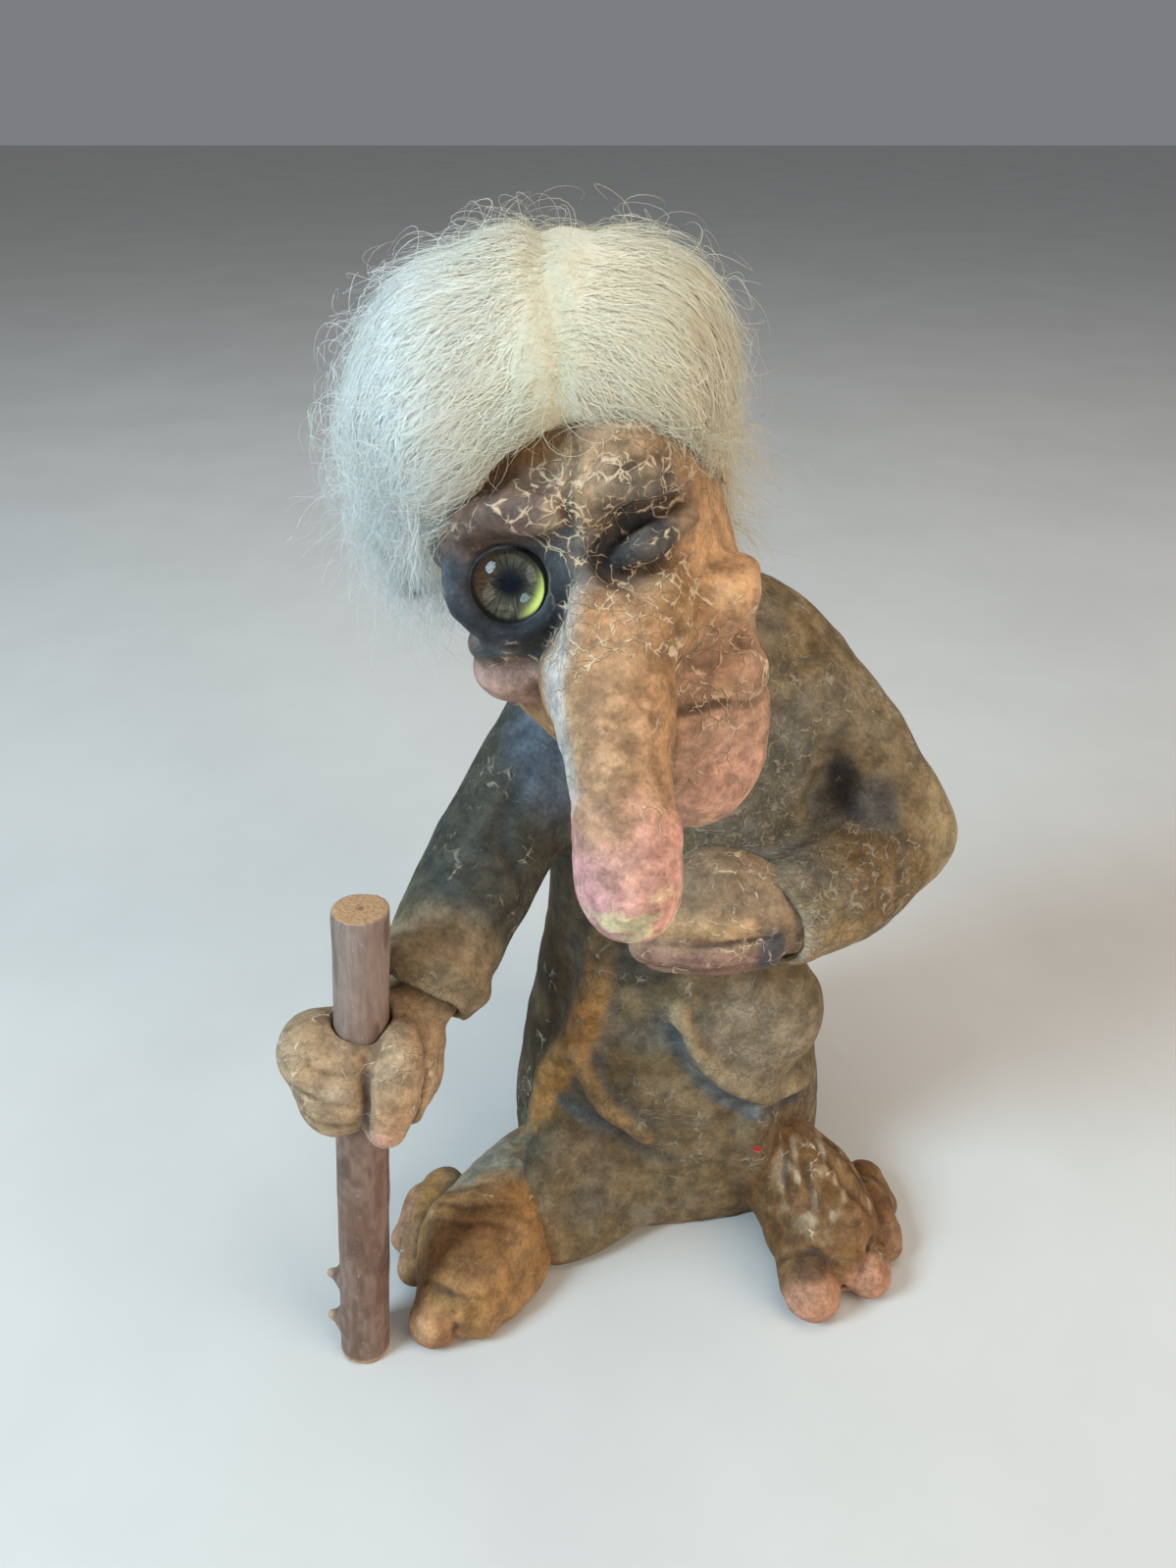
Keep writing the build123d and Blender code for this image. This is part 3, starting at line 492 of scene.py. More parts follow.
def head_clay():
    clay = Clay((-34, -68, -50), (36, 34, 54), 0.55)
    clay.add(egg((0, 0, 14), (25, 26.5, 29)), 0)
    clay.add(egg((0.5, -2.5, -6), (24, 24, 23)), 6)
    clay.add(egg((4.5, -12, -22), (17.5, 16.5, 18.5)), 7)
    clay.add(egg((4.5, -17, -31), (11.5, 10.5, 10)), 5)
    # Cheeks: a sharp cheekbone on the figure's left, a small round cheek under the open eye
    clay.add(egg((17.5, -14.5, -2), (8.6, 8.4, 6.2)), 3)
    clay.add(limb((12, -22, 0.5, 3.2), (19, -17, -0.5, 3.6), (24.3, -10, -0.8, 2.6)), 3)
    clay.add(egg((15, -17, -15), (8.6, 7.6, 6.8)), 3)
    clay.add(egg((-16.5, -16.5, -0.5), (8.2, 7.8, 6.2)), 3)
    # Brow: the half over the closed eye stands forward of the other, with a step between them
    clay.add(limb((-20, -16, 21.5, 3.0), (-12, -23, 27, 3.2), (-2, -26, 25.5, 3.0)), 3.5)
    clay.add(egg((11.5, -15.5, 30), (11.5, 10.5, 9)), 3)
    clay.add(limb((3.5, -25, 24.5, 3.6), (11, -24.5, 25.5, 3.8), (19, -18.5, 22.5, 3.4)), 3)
    # Nose
    clay.add(
        limb(
            (2.2, -23.0, 23, 3.2),
            (2.8, -25.5, 15, 4.4),
            (2.6, -28.0, 8, 6.6),
            (1.0, -31.0, 1.5, 8.8),
            (-0.8, -35.5, -4, 9.6),
            (-2.4, -42, -10.5, 8.4),
            (-3.4, -46.3, -15, 8.0),
            (-4.8, -50.3, -20.5, 8.6),
            (-6.0, -53, -25, 8.4),
            (-6.6, -54.2, -27.4, 7.3),
        ),
        4.0,
    )
    clay.add(egg((-7.0, -29, -2), (5.6, 7, 8)), 4)
    clay.add(egg((8.5, -25, 3), (6.5, 7, 9)), 5)
    clay.add(limb((-0.2, -33, 12, 2.2), (-4.5, -40, -2, 2.4), (-6.0, -46.5, -12, 2.0)), 3)
    # Closed eye: a lid like a small sausage between two deep folds
    clay.cut(egg((11.8, -28.5, 15.6), (9, 5.4, 6.2)), 3)
    clay.add(limb((4.6, -24.2, 13.6, 2.0), (11.5, -25.0, 15.0, 2.8), (18.5, -20.5, 15.6, 2.0)), 1.4)
    clay.cut(limb((5.0, -27.6, 17.0, 0.9), (11.5, -27.6, 18.4, 1.2), (18.5, -23.0, 18.0, 0.9)), 1.2)
    clay.cut(limb((5.5, -27.2, 11.2, 0.7), (12.0, -27.6, 12.2, 0.9), (18.2, -22.8, 12.8, 0.7)), 1.0)
    clay.cut(limb((5.6, -27.0, 14.4, 0.35), (11.8, -28.0, 15.6, 0.45), (17.6, -23.2, 16.0, 0.3)), 0.4)
    # Open eye: a bag under it, a heavy lid ring and the pocket for the glass
    clay.add(egg((-14.5, -19.5, 6.0), (8.5, 6.2, 4.2)), 2.5)
    across, upright = EYE_AXES[0], EYE_AXES[2]
    clay.add(arc(from_eye((0, -4.6, 0)), across, upright, 7.6, 1.3, 0, 360, 25), 1.6)
    clay.add(arc(from_eye((-0.4, -4.2, 0.4)), across, upright, 8.6, 1.9, 30, 310, 21), 1.4)
    clay.cut(egg(from_eye((0, -6.6, 0)), (6.7, 5.8, 6.7), EYE_AXES), 0.6)
    clay.cut(limb((*from_eye((0, -16, 0)), 6.5), (*from_eye((0, -6, 0)), 6.5)), 0.4)
    under_eye = [from_eye((10.6 * cos(t), -5, 10.6 * sin(t))) for t in np.linspace(3.4, 5.8, 7)]
    groove(clay, [(*place, 0.5) for place in under_eye], 0.9)
    # Step in the forehead, cheek folds and the mouth
    groove(clay, [(*place, 0.9) for place in BROW_STEP], 0.5)
    groove(clay, ((9.5, -27.5, -2, 0.5), (14.5, -24.5, -8, 1.2), (21.5, -16.5, -9.5, 1.2)), 2.2)
    groove(clay, ((10.8, -30, 3, 0.4), (9.8, -31.5, -6, 0.8), (7.0, -30.5, -13, 0.8)), 1.6)
    groove(clay, ((-10.5, -27, 5, 0.4), (-14.2, -27, -1.5, 0.8), (-14.8, -23.5, -7.5, 0.9)), 1.6)
    clay.add(limb((6.0, -26.5, -18.5, 2.2), (12.0, -24.5, -19.5, 2.6), (18.5, -17.0, -23.0, 1.8)), 2.5)
    groove(clay, MOUTH, 0.9)
    groove(clay, ((8.0, -26, -25, 0.4), (13.0, -22.5, -26.5, 0.6), (17, -17, -28, 0.3)), 1.8)
    for z in (27.0, 30.4, 33.6, 36.4):
        groove(clay, ((6, -27.5, z, 0.2), (12, -26.5, z + 0.8, 0.5), (18, -21, z - 1, 0.2)), 0.9)
    for k in range(6):
        x, y, z = -1.6 - 0.6 * k, -39.0 - 2.3 * k, -4.0 - 2.9 * k
        left, right = (x - 6.5, y - 1.5, z, 0.15), (x + 6.5, y - 1.5, z, 0.15)
        groove(clay, (left, (x, y - 5.5, z + 6.5, 0.4), right), 0.9)
    clay.worked(0.4, (5.0, 0.32, 11), (2.0, 0.16, 12))
    return clay


def head_paint(coat):
    p, ridge = coat.points, coat.ridge
    mottle = grain(p, 4.0, 21)
    # Tan on raised parts is a painted highlight, with random mottle
    coat.wash(TAN, 0.75 * ridge + 0.4 * (mottle - 0.4))
    coat.dab(UMBER, 0.30 * (0.4 + mottle), (9, -20, 33), (13, 12, 8))
    coat.dab((0.50, 0.33, 0.205), 0.55 * (0.5 + mottle), (13, -22, 31), (10, 9, 7))
    coat.dab(SLATE, 0.85, (-23, -12, 16), (6, 12, 16))
    coat.dab((0.46, 0.265, 0.175), 0.75, (13, -18, -20), (13, 14, 17))
    coat.dab((0.60, 0.355, 0.25), 0.6 * (0.5 + mottle), (10.5, -23, -22), (8, 8, 6))
    coat.dab((0.62, 0.33, 0.24), 0.7, (9, -24, -32), (10, 9, 8))
    coat.dab((0.62, 0.36, 0.185), 0.8, (21.5, -13, 4), (6.5, 9, 11))
    coat.dab((0.45, 0.25, 0.18), 0.5, (21, -13, -4), (6, 7, 4))
    # Nose: tan above, rose from the waist down, yellowish scrapes at the tip
    coat.stroke((0.50, 0.285, 0.155), 0.8, ((2, -30, 8), (-1, -42, -5), (-3, -50, -14)), 11)
    speckle = fade(grain(p * (1, 1, 1.6), 1.7, 24), 0.55, 0.75)
    coat.stroke((0.20, 0.105, 0.050), 0.55 * speckle, ((3, -29, 8), (0, -42, -6), (-2, -49, -13)), 10)
    # Painted highlight: a pale grey stripe down the staff side of the nose, where the window light falls
    coat.stroke((0.56, 0.52, 0.49), 0.75, ((-2, -31, 13), (-8.5, -38, -1), (-9.5, -46, -12)), 5.5)
    down = -p[:, 1] * 0.62 - p[:, 2] * 0.78
    tip = fade(down + 9.0 * (mottle - 0.5), 38.0, 53.0) * fade(p[:, 1], -36.0, -43.0)
    coat.wash(ROSE, 0.85 * tip)
    coat.wash((0.52, 0.235, 0.27), 0.5 * tip * fade(p[:, 0], -4.0, -11.0))
    scraped = fade(grain(p * (1, 1, 1.8), 2.6, 22), 0.52, 0.64) * spot(p, (-6.5, -58, -29), (8, 8, 5.0))
    coat.wash((0.74, 0.62, 0.36), 0.9 * scraped)
    coat.dab(CHARCOAL, 1.0, (-7.6, -58.5, -33.2), (1.2, 2.2, 1.0))
    # Charcoal round both eyes
    rough = 0.55 + 0.9 * grain(p, 3.0, 23)
    eye = from_eye((0, -5.0, 0))
    coat.dab(SLATE, 1.1 * rough, eye, (10.6, 9, 10.8), 0.35)
    coat.dab(CHARCOAL, 1.0, eye, (9.6, 8, 9.8), 0.22)
    # Painted highlight: blue on the raised lid ring at the upper left
    coat.dab((0.13, 0.155, 0.20), 0.7 * ridge, eye + np.array((-4, 0, 5)), (7, 7, 6))
    coat.dab(SLATE, 0.7 * rough, (-3.0, -25, 21), (6, 7, 7))
    coat.dab((0.15, 0.095, 0.075), 0.85 * rough, (-9.0, -25, 28), (10, 8, 6))
    coat.dab(CHARCOAL, 0.7 * rough, (13.0, -26, 25.0), (5.5, 6, 3.6))
    coat.dab(SLATE, 0.75 * rough, (-15, -24, 4.5), (8, 7, 3.6))
    coat.dab(SLATE, 0.85 * rough, (9.5, -26, 18.0), (9.5, 8, 6.0), 0.7)
    coat.dab(CHARCOAL, 0.9 * (0.4 + 0.6 * rough), (9.8, -25, 15.6), (7.6, 8, 4.4), 0.6)
    # Painted highlight on the raised closed lid
    coat.dab((0.20, 0.170, 0.140), 0.7 * ridge, (10.8, -25, 15.8), (8.4, 8, 4.6), 0.6)
    coat.dab((0.30, 0.190, 0.115), 0.75, (18.8, -20, 15.5), (4.0, 5, 4.0))
    coat.dab((0.50, 0.30, 0.24), 0.8 * fade(p[:, 2], 5.5, 2.0), (-18, -20, -1.5), (7.5, 8, 5))
    # Painted highlight on the raised brow over the closed eye
    coat.dab(PALE, 0.5 * ridge, (9, -26, 24), (11, 7, 5))
    # Painted shade: umber along the forehead step and the mouth crease
    coat.stroke(UMBER, 0.9, BROW_STEP, 1.9)
    coat.stroke(UMBER, 0.7, [knot[:3] for knot in MOUTH], 1.6)
    cracks = 0.28 + 0.85 * spot(p, (3, -28, 14), (15, 12, 13), 0.6)
    cracks = cracks + 0.5 * spot(p, (13, -24, 27), (13, 9, 9), 0.6)
    cracks = cracks + 0.35 * spot(p, (15, -20, -10), (10, 10, 10)) - 0.25 * tip - 0.6 * scraped
    cracks = cracks * (1.0 - 0.85 * spot(p, eye, (9.0, 8, 9.0), 0.3))
    return cracks * (1.0 - 0.75 * spot(p, (11.5, -25, 16.4), (8.0, 8, 3.2), 0.4))


# Robe

SWAG = ((1.2, -29.5, 71), (5.5, -31.0, 60.5), (14.0, -30.5, 50.5), (25.0, -26.0, 42.0), (34.5, -17.5, 38.5))
SIDE_FOLD = (
    (-16, -22, 88),
    (-18.5, -22.5, 72),
    (-22, -21, 57),
    (-28, -17.5, 41),
    (-30.5, -18.5, 26),
    (-29, -22, 10),
)
SIDE_FOLD_RADII = (2.4, 3.2, 4.0, 4.4, 4.2, 3.0)
SECOND_FOLD = ((-23, -23.5, 56), (-18.5, -26, 45), (-13, -29, 38.5), (-6, -31.2, 33.5))
RIGHT_SLEEVE = (
    (-16, 6, 139, 15.0),
    (-25, 0, 129, 14.6),
    (-36, -12, 116, 13.4),
    (-46, -28, 103, 12.6),
    (-53, -41, 94, 12.4),
)
LEFT_SLEEVE = ((15, 6, 145, 14.5), (29, 5, 136.5, 14.2), (42, 1.5, 122.5, 13.4), (50.5, -6.5, 107, 12.8))
LEFT_FOREARM = ((50.5, -6.5, 108, 12.8), (38.0, -22, 104, 12.6), (22.5, -33.5, 104, 10.8))


def sleeve_end(sleeve):
    """Where a sleeve ends, and its directions there: ahead, across and upright."""
    end = np.array(sleeve[-1][:3])
    ahead = unit(end - np.array(sleeve[-2][:3]))
    across = unit(np.cross(ahead, (0, 0, 1)))
    return end, ahead, across, np.cross(across, ahead)


def robe_clay():
    clay = Clay((-74, -60, -3), (70, 46, 178), 0.8)
    clay.add(
        stack(
            (
                (0.2, 41, 32, 2, 0),
                (10, 41.5, 33, 2, 0),
                (22, 41.0, 33, 2, 0.5),
                (40, 38, 32.4, 2, 1.2),
                (56, 35.2, 31.8, 2, 2),
                (72, 32.4, 31.2, 2, 2.5),
                (88, 31, 30.8, 2, 3),
                (104, 31.2, 30, 2, 3.5),
                (120, 32, 29, 2, 4),
                (136, 32.5, 27, 2, 4.5),
                (148, 31, 24, 2, 5),
            )
        ),
        0,
    )
    clay.add(egg((2, 7, 144), (32, 24, 22)), 6)
    clay.add(limb((-3, -3, 142, 12), (-10, -18, 160, 11.5)), 6)
    clay.add(limb(*RIGHT_SLEEVE), 6)
    clay.add(limb(*LEFT_SLEEVE), 7)
    clay.add(limb(*LEFT_FOREARM), 7)
    clay.cut(egg((34.5, -17, 125), (3.2, 7.5, 7.5)), 4)
    # Skirt: a hanging pouch of cloth, a long fold down the side and a short one across
    clay.add(egg((21, -16.5, 61), (17, 12.0, 19)), 6)
    clay.add(limb(*[(*k, 2.0) for k in SWAG]), 4.5)
    clay.cut(limb(*[(x - 1.0, y - 1.4, z - 5.2, 1.7) for x, y, z in SWAG]), 2.6)
    clay.add(limb(*[(*k, r) for k, r in zip(SIDE_FOLD, SIDE_FOLD_RADII)]), 5)
    clay.add(limb(*[(*k, 2.6) for k in SECOND_FOLD]), 3)
    clay.cut(
        limb((-26, -25, 37, 1.2), (-17, -29.5, 34, 2.0), (-8, -32.5, 28.5, 2.0), (0, -33, 25.5, 1.2)), 3
    )
    clay.cut(limb((-9.5, -29.5, 82, 1.6), (-6, -31, 72, 2.4), (0, -32.5, 60, 2.4), (5, -33.5, 48, 1.2)), 4)
    clay.cut(limb((-33, -15, 60, 1.5), (-37, -14.5, 40, 2.0), (-39.5, -13, 20, 1.6)), 4)
    clay.cut(limb((28, -24, 92, 1.5), (33.5, -19, 82, 1.8), (37, -12, 72, 1.0)), 3.5)
    clay.cut(limb((5, -35, 38, 0.8), (13, -34, 30, 1.2), (17, -34, 18, 0.8)), 4)
    clay.add(limb((22, -27, 36, 2.0), (24, -28, 22, 3.5), (27, -26, 8, 4.5)), 6)
    clay.add(limb((-4, -30, 6, 4.5), (-15, -35, 6, 6.0), (-26, -41, 5.5, 5.6)), 5)
    clay.add(limb((-22, -22, 26, 8.0), (-30, -30, 17, 8.0), (-32, -39, 8, 6.5)), 6)
    clay.add(egg((-17, -30, 13), (13, 8, 11)), 6)
    # Back and sides: the cloth hangs in faint long waves
    for turn, deep in ((25, 0.7), (58, 0.9), (92, 0.8), (125, 0.9), (155, 0.7)):
        way = radians(turn)
        rows = [(2 + 43 * cos(way), 2 + 35 * sin(way), 6), (2 + 40.5 * cos(way), 3 + 34 * sin(way), 40)]
        rows.append((2 + 35.5 * cos(way + 0.1), 4 + 33.5 * sin(way + 0.1), 78))
        clay.cut(limb(*[(*row, deep * w) for row, w in zip(rows, (1.5, 1.2, 0.5))]), 6)
    # Sleeves: creases at the elbows, then each cuff opened by a ball and a bore and given a rolled rim
    groove(clay, ((-31, -16, 131, 0.3), (-38, -23, 119, 1.0), (-36, -30, 105, 0.4)), 2.5)
    groove(clay, ((-45, -12, 124, 0.3), (-50, -24, 112, 0.9), (-46, -37, 104, 0.4)), 2.5)
    groove(clay, ((44, -13, 119, 0.4), (47, -20, 112, 1.1), (44, -28, 106, 0.4)), 2.5)
    groove(clay, ((61, -2, 102, 0.3), (57, -12, 97, 0.9), (46, -24, 92, 0.4)), 2.5)
    for sleeve, ball_at, ball, inner, mouth_at, mouth, rim_back, rim, roll in (
        (RIGHT_SLEEVE, 15.0, 14.0, 9.0, 12.0, 10.4, 0.6, 10.9, 2.7),
        (LEFT_FOREARM, 12.0, 12.0, 8.2, 6.0, 9.0, 0.4, 9.4, 2.0),
    ):
        end, ahead, across, upright = sleeve_end(sleeve)
        clay.cut(egg(end + ball_at * ahead, (ball, ball, ball)), 0.8)
        clay.cut(limb((*(end - 2.0 * ahead), inner), (*(end + mouth_at * ahead), mouth)), 0.8)
        clay.add(arc(end - rim_back * ahead, across, upright, rim, roll, 0, 360, 25), 1.2)
    end, ahead, across, upright = sleeve_end(RIGHT_SLEEVE)
    clay.cut(arc(end - 5.0 * ahead, across, upright, 13.6, 0.8, 0, 360, 25), 1.8)
    # Hem: worn and uneven, open under the feet
    for x, y, r in ((-9, -36, 4.2), (0.5, -37.5, 5.0), (9, -37, 5.4), (17, -35, 4.6), (-18, -35, 3.4)):
        clay.cut(egg((x, y, -0.5), (r * 1.4, 4.5, r)), 2)
    clay.worked(0.55, (9.0, 0.45, 31), (3.5, 0.20, 32))
    clay.cut(below(0.15), 0.0)
    return clay


def robe_paint(coat):
    p, hollow_shade, ridge = coat.points, coat.hollow_shade, coat.ridge
    mottle = grain(p, 9.0, 41)
    patch = grain(p, 22.0, 42)
    coat.wash(EARTH, fade(patch, 0.35, 0.65) * 0.8)
    coat.wash(BLUE_GREY, 0.35 * fade(mottle, 0.50, 0.9))
    # Painted shade: blue-grey in the hollows
    coat.wash(BLUE_GREY, 0.85 * np.clip(hollow_shade * 1.5, 0, 1))
    # Painted highlight: pale on the ridges
    coat.wash(DUST_AND_HIGHLIGHT, 0.75 * ridge * (0.4 + mottle))
    coat.wash(DUST_AND_HIGHLIGHT, 0.42 * fade(grain(p, 5.0, 45), 0.52, 0.80))
    # Cloth over the chest and upper arm is greyer, the forearm and elbow are paler
    coat.dab(BLUE_GREY, 0.5, (18, -26, 132), (17, 14, 16))
    coat.dab((0.235, 0.175, 0.105), 0.7, (48, -2, 128), (14, 20, 22))
    coat.dab((0.37, 0.28, 0.155), 0.75, (60, -8, 106), (10, 14, 16))
    coat.dab((0.205, 0.118, 0.048), 0.55, (42, -27, 106), (13, 14, 11))
    coat.dab((0.40, 0.26, 0.12), 0.7, (31, -38, 100), (8, 7, 7))
    coat.dab((0.50, 0.40, 0.28), 0.8 * (0.4 + mottle), (23.5, -42, 102), (3.0, 5, 8))
    coat.dab((0.105, 0.122, 0.140), 0.8 * (0.5 + mottle), (43, -14, 118), (5, 7, 7))
    coat.dab((0.056, 0.058, 0.050), 0.85, (-42, -16, 114), (18, 28, 32))
    coat.dab((0.13, 0.152, 0.185), 0.8, (-24, -12, 134), (11, 14, 16))
    coat.dab((0.33, 0.235, 0.14), 0.75 * (0.4 + mottle), (-52, -43, 96), (13, 8, 14))
    # Painted shade: near black in the recess at the elbow
    coat.dab((0.05, 0.05, 0.055), 0.85, (36, -14, 124), (3.4, 7, 6.2))
    # Tan on the folds; painted shadow on the staff side of the skirt; painted blue-grey shade below the
    # pouch and beside the cross fold
    rough = 0.45 + 0.9 * grain(p, 3.0, 43)
    # Painted shadow: near black on the staff side of the skirt under the sleeve, except on ridges
    coat.dab((0.036, 0.021, 0.008), 0.95 * (1.0 - ridge), (-38, -10, 55), (12, 20, 46))
    side_fold = [(x - 0.5, y - 3, z) for x, y, z in SIDE_FOLD]
    coat.stroke((0.46, 0.245, 0.085), 0.95 * rough, side_fold, 5.8)
    coat.stroke((0.36, 0.23, 0.11), 0.9 * rough, [(x, y - 2.4, z) for x, y, z in SECOND_FOLD], 4.0)
    coat.stroke((0.33, 0.25, 0.15), 0.9 * rough, [(x, y - 2.2, z + 0.8) for x, y, z in SWAG], 5.0)
    coat.dab((0.32, 0.245, 0.165), 0.75 * (0.4 + mottle), (22, -28, 60), (13, 9, 14))
    # Painted shadow: blue-grey under the pouch's rim
    coat.stroke((0.135, 0.150, 0.160), 0.85, [(x - 1, y - 0.5, z - 5.6) for x, y, z in SWAG], 3.6)
    # Painted shade: blue-grey in the groove under the cross fold
    coat.stroke(
        (0.135, 0.150, 0.155), 0.8, ((-26, -24, 37), (-17, -28, 34), (-8, -31, 28.5), (0, -32, 25.5)), 3.2
    )
    # Painted shade: dark at the top of the belly crease, under the belly hand's fingers
    coat.dab((0.05, 0.045, 0.04), 0.7, (-10, -30, 86), (12, 8, 9))
    # Near the hem the cloth browns and the legs show through it
    coat.dab((0.19, 0.115, 0.06), 0.8 * rough, (27, -27, 12), (14, 12, 18))
    coat.dab((0.24, 0.16, 0.085), 0.8 * rough, (12, -33, 5), (16, 6, 5))
    coat.dab((0.22, 0.15, 0.078), 0.6 * rough, (2, -32, 24), (24, 8, 12))
    coat.dab((0.15, 0.095, 0.055), 0.6 * rough, (30, -24, 22), (13, 12, 12))
    # Pale grey on the drape over the staff-side ankle: partly the cloth's own colour, partly painted window
    # light
    coat.dab((0.27, 0.235, 0.165), 0.6 * rough, (-36, -22, 14), (9, 10, 11))
    coat.dab((0.27, 0.15, 0.065), 0.65 * rough, (-33, -42, 7), (7, 9, 8))
    coat.dab((0.55, 0.035, 0.025), 1.0, (22.5, -33.0, 27.9), (1.0, 4.0, 1.0), 0.3)
    cracks = 0.12 + 0.45 * grain(p, 14.0, 44) - 0.2 * hollow_shade
    cracks = cracks + 0.6 * spot(p, (20, -30, 126), (20, 15, 18))
    cracks = cracks + 0.45 * spot(p, (40, -32, 106), (20, 16, 12))
    return cracks - 0.12 * spot(p, (-40, -24, 118), (20, 24, 26))


# Hands


def right_hand_clay():
    clay = Clay((-24, -22, -20), (34, 38, 34), 0.45)
    clay.add(egg((-3.0, -0.5, 1.0), (12.0, 12.0, 10.5)), 0)
    clay.add(egg((-10.0, -1.5, 4.5), (6.8, 9.0, 6.5)), 3)
    clay.add(egg((-4.0, -4.5, -6.0), (8.0, 8.0, 7.0)), 4)
    clay.add(egg((5.5, 2.0, 2.5), (9.0, 9.5, 9.0)), 4)
    # Thumb down the front, finger edges beside it
    clay.add(
        limb((8.0, -2.5, 8.5, 4.2), (8.6, -7.6, 5.0, 5.2), (7.8, -9.6, -1.5, 5.1), (6.4, -9.6, -7.6, 4.4)),
        1.2,
    )
    clay.add(limb((12.0, 1.0, 4.0, 3.4), (12.4, -4.2, -0.5, 3.1), (11.0, -6.6, -6.5, 2.6)), 1.0)
    clay.add(limb((13.5, 5.0, 2.0, 3.0), (14.0, 0.8, -2.5, 2.6), (12.6, -1.5, -7.0, 2.2)), 1.0)
    # Wrist, back into the cuff
    clay.add(limb((6.0, 6.0, 5.0, 8.0), (10.5, 12.5, 8.5, 8.0), (15.0, 18.5, 13.0, 8.4)), 4)
    # Groove beside the thumb, bends of the curled fingers, the nail
    groove(clay, ((2.2, -9.5, 9.5, 0.6), (2.4, -13.0, 2.0, 0.9), (1.6, -13.0, -9.0, 0.9)), 0.8)
    groove(clay, ((-13.5, -7.5, 1.0, 0.3), (-7.0, -12.0, 0.0, 0.5), (1.0, -13.2, -1.5, 0.4)), 1.0)
    groove(clay, ((-12.0, -7.0, -5.0, 0.3), (-6.5, -11.6, -6.0, 0.6), (0.5, -12.8, -6.6, 0.5)), 1.0)
    groove(clay, ((-9.0, -11.0, 8.0, 0.3), (-4.0, -12.2, 6.0, 0.4), (1.0, -12.0, 6.5, 0.3)), 1.0)
    groove(clay, ((13.0, -6.5, 4.0, 0.4), (12.8, -8.0, -3.0, 0.6), (11.0, -8.5, -8.5, 0.4)), 0.7)
    clay.cut(arc((6.5, -13.4, -8.0), (1, 0, 0), (0, 0, 1), 2.8, 0.35, 10, 170, 9), 0.4)
    clay.cut(limb((0, 0, -40, 6.0), (0, 0, 60, 6.0)), 0.8)
    clay.worked(0.35, (4.0, 0.22, 51), (1.6, 0.08, 52))
    clay.cut(limb((0, 0, -40, 5.8), (0, 0, 60, 5.8)), 0.0)
    return clay


def right_hand_paint(coat):
    p = coat.points
    mottle = grain(p, 3.5, 53)
    # Paler on raised parts: a painted highlight, with random mottle
    coat.wash((0.46, 0.33, 0.215), 0.6 * coat.ridge + 0.5 * (mottle - 0.35))
    coat.stroke((0.54, 0.30, 0.165), 0.65, ((8, -6, 6), (7.5, -12, -1), (5.8, -12, -9)), 5.0)
    coat.dab((0.60, 0.33, 0.25), 0.8, (5.7, -13.5, -9.5), (3.2, 4, 3.2))
    coat.wash((0.50, 0.43, 0.36), 0.6 * fade(p[:, 2], -9.0, -13.0))
    # Painted shade: umber in the hollows and round the stick at the top of the fist
    coat.wash(UMBER, 0.55 * coat.hollow_shade + 0.35 * spot(p, (0, 0, 11), (9, 9, 4)))
    # Painted shade: slate in the groove beside the thumb, and charcoal between the finger edges
    coat.stroke(SLATE, 0.55, ((2.6, -10, 9), (2.8, -13.6, 2), (2.4, -13.4, -9.5)), 2.2)
    coat.dab(CHARCOAL, 0.8, (11.6, -8.0, 0.5), (1.4, 2.2, 2.2))
    coat.dab((0.25, 0.17, 0.10), 0.6, (14, 17, 12), (10, 10, 10))
    return 0.14 + 0.4 * grain(p, 7.0, 54)


def left_hand_clay():
    clay = Clay((-18, -54, 84), (40, -14, 126), 0.45)
    clay.add(
        limb((27, -30.5, 104, 10.0), (18, -32.8, 104.5, 9.6), (9, -33.5, 105, 9.2), (1, -33, 103, 7.6)), 0
    )
    clay.add(egg((8, -31.0, 109.5), (12, 9.5, 8.0)), 4)
    # Fingers laid over the belly, one above the other
    clay.add(limb((18, -39, 108.0, 4.4), (7, -40.5, 108.2, 4.7), (-3, -39.0, 107.0, 4.0)), 1.6)
    clay.add(limb((18, -39.5, 101.8, 4.4), (5, -41.5, 101.4, 4.7), (-7, -39.5, 100.8, 4.1)), 1.2)
    clay.add(limb((18, -36.5, 97.0, 4.2), (5, -38.5, 96.2, 4.0), (-4.5, -37.0, 96.0, 3.5)), 1.2)
    groove(clay, ((20, -44, 105.2, 0.3), (6, -46, 105.0, 0.6), (-6, -44.0, 104.2, 0.5)), 0.9)
    groove(clay, ((18, -43, 98.8, 0.3), (5, -45, 98.4, 0.5), (-6, -43, 98.2, 0.4)), 0.9)
    clay.worked(0.35, (4.0, 0.22, 61), (1.6, 0.08, 62))
    return clay


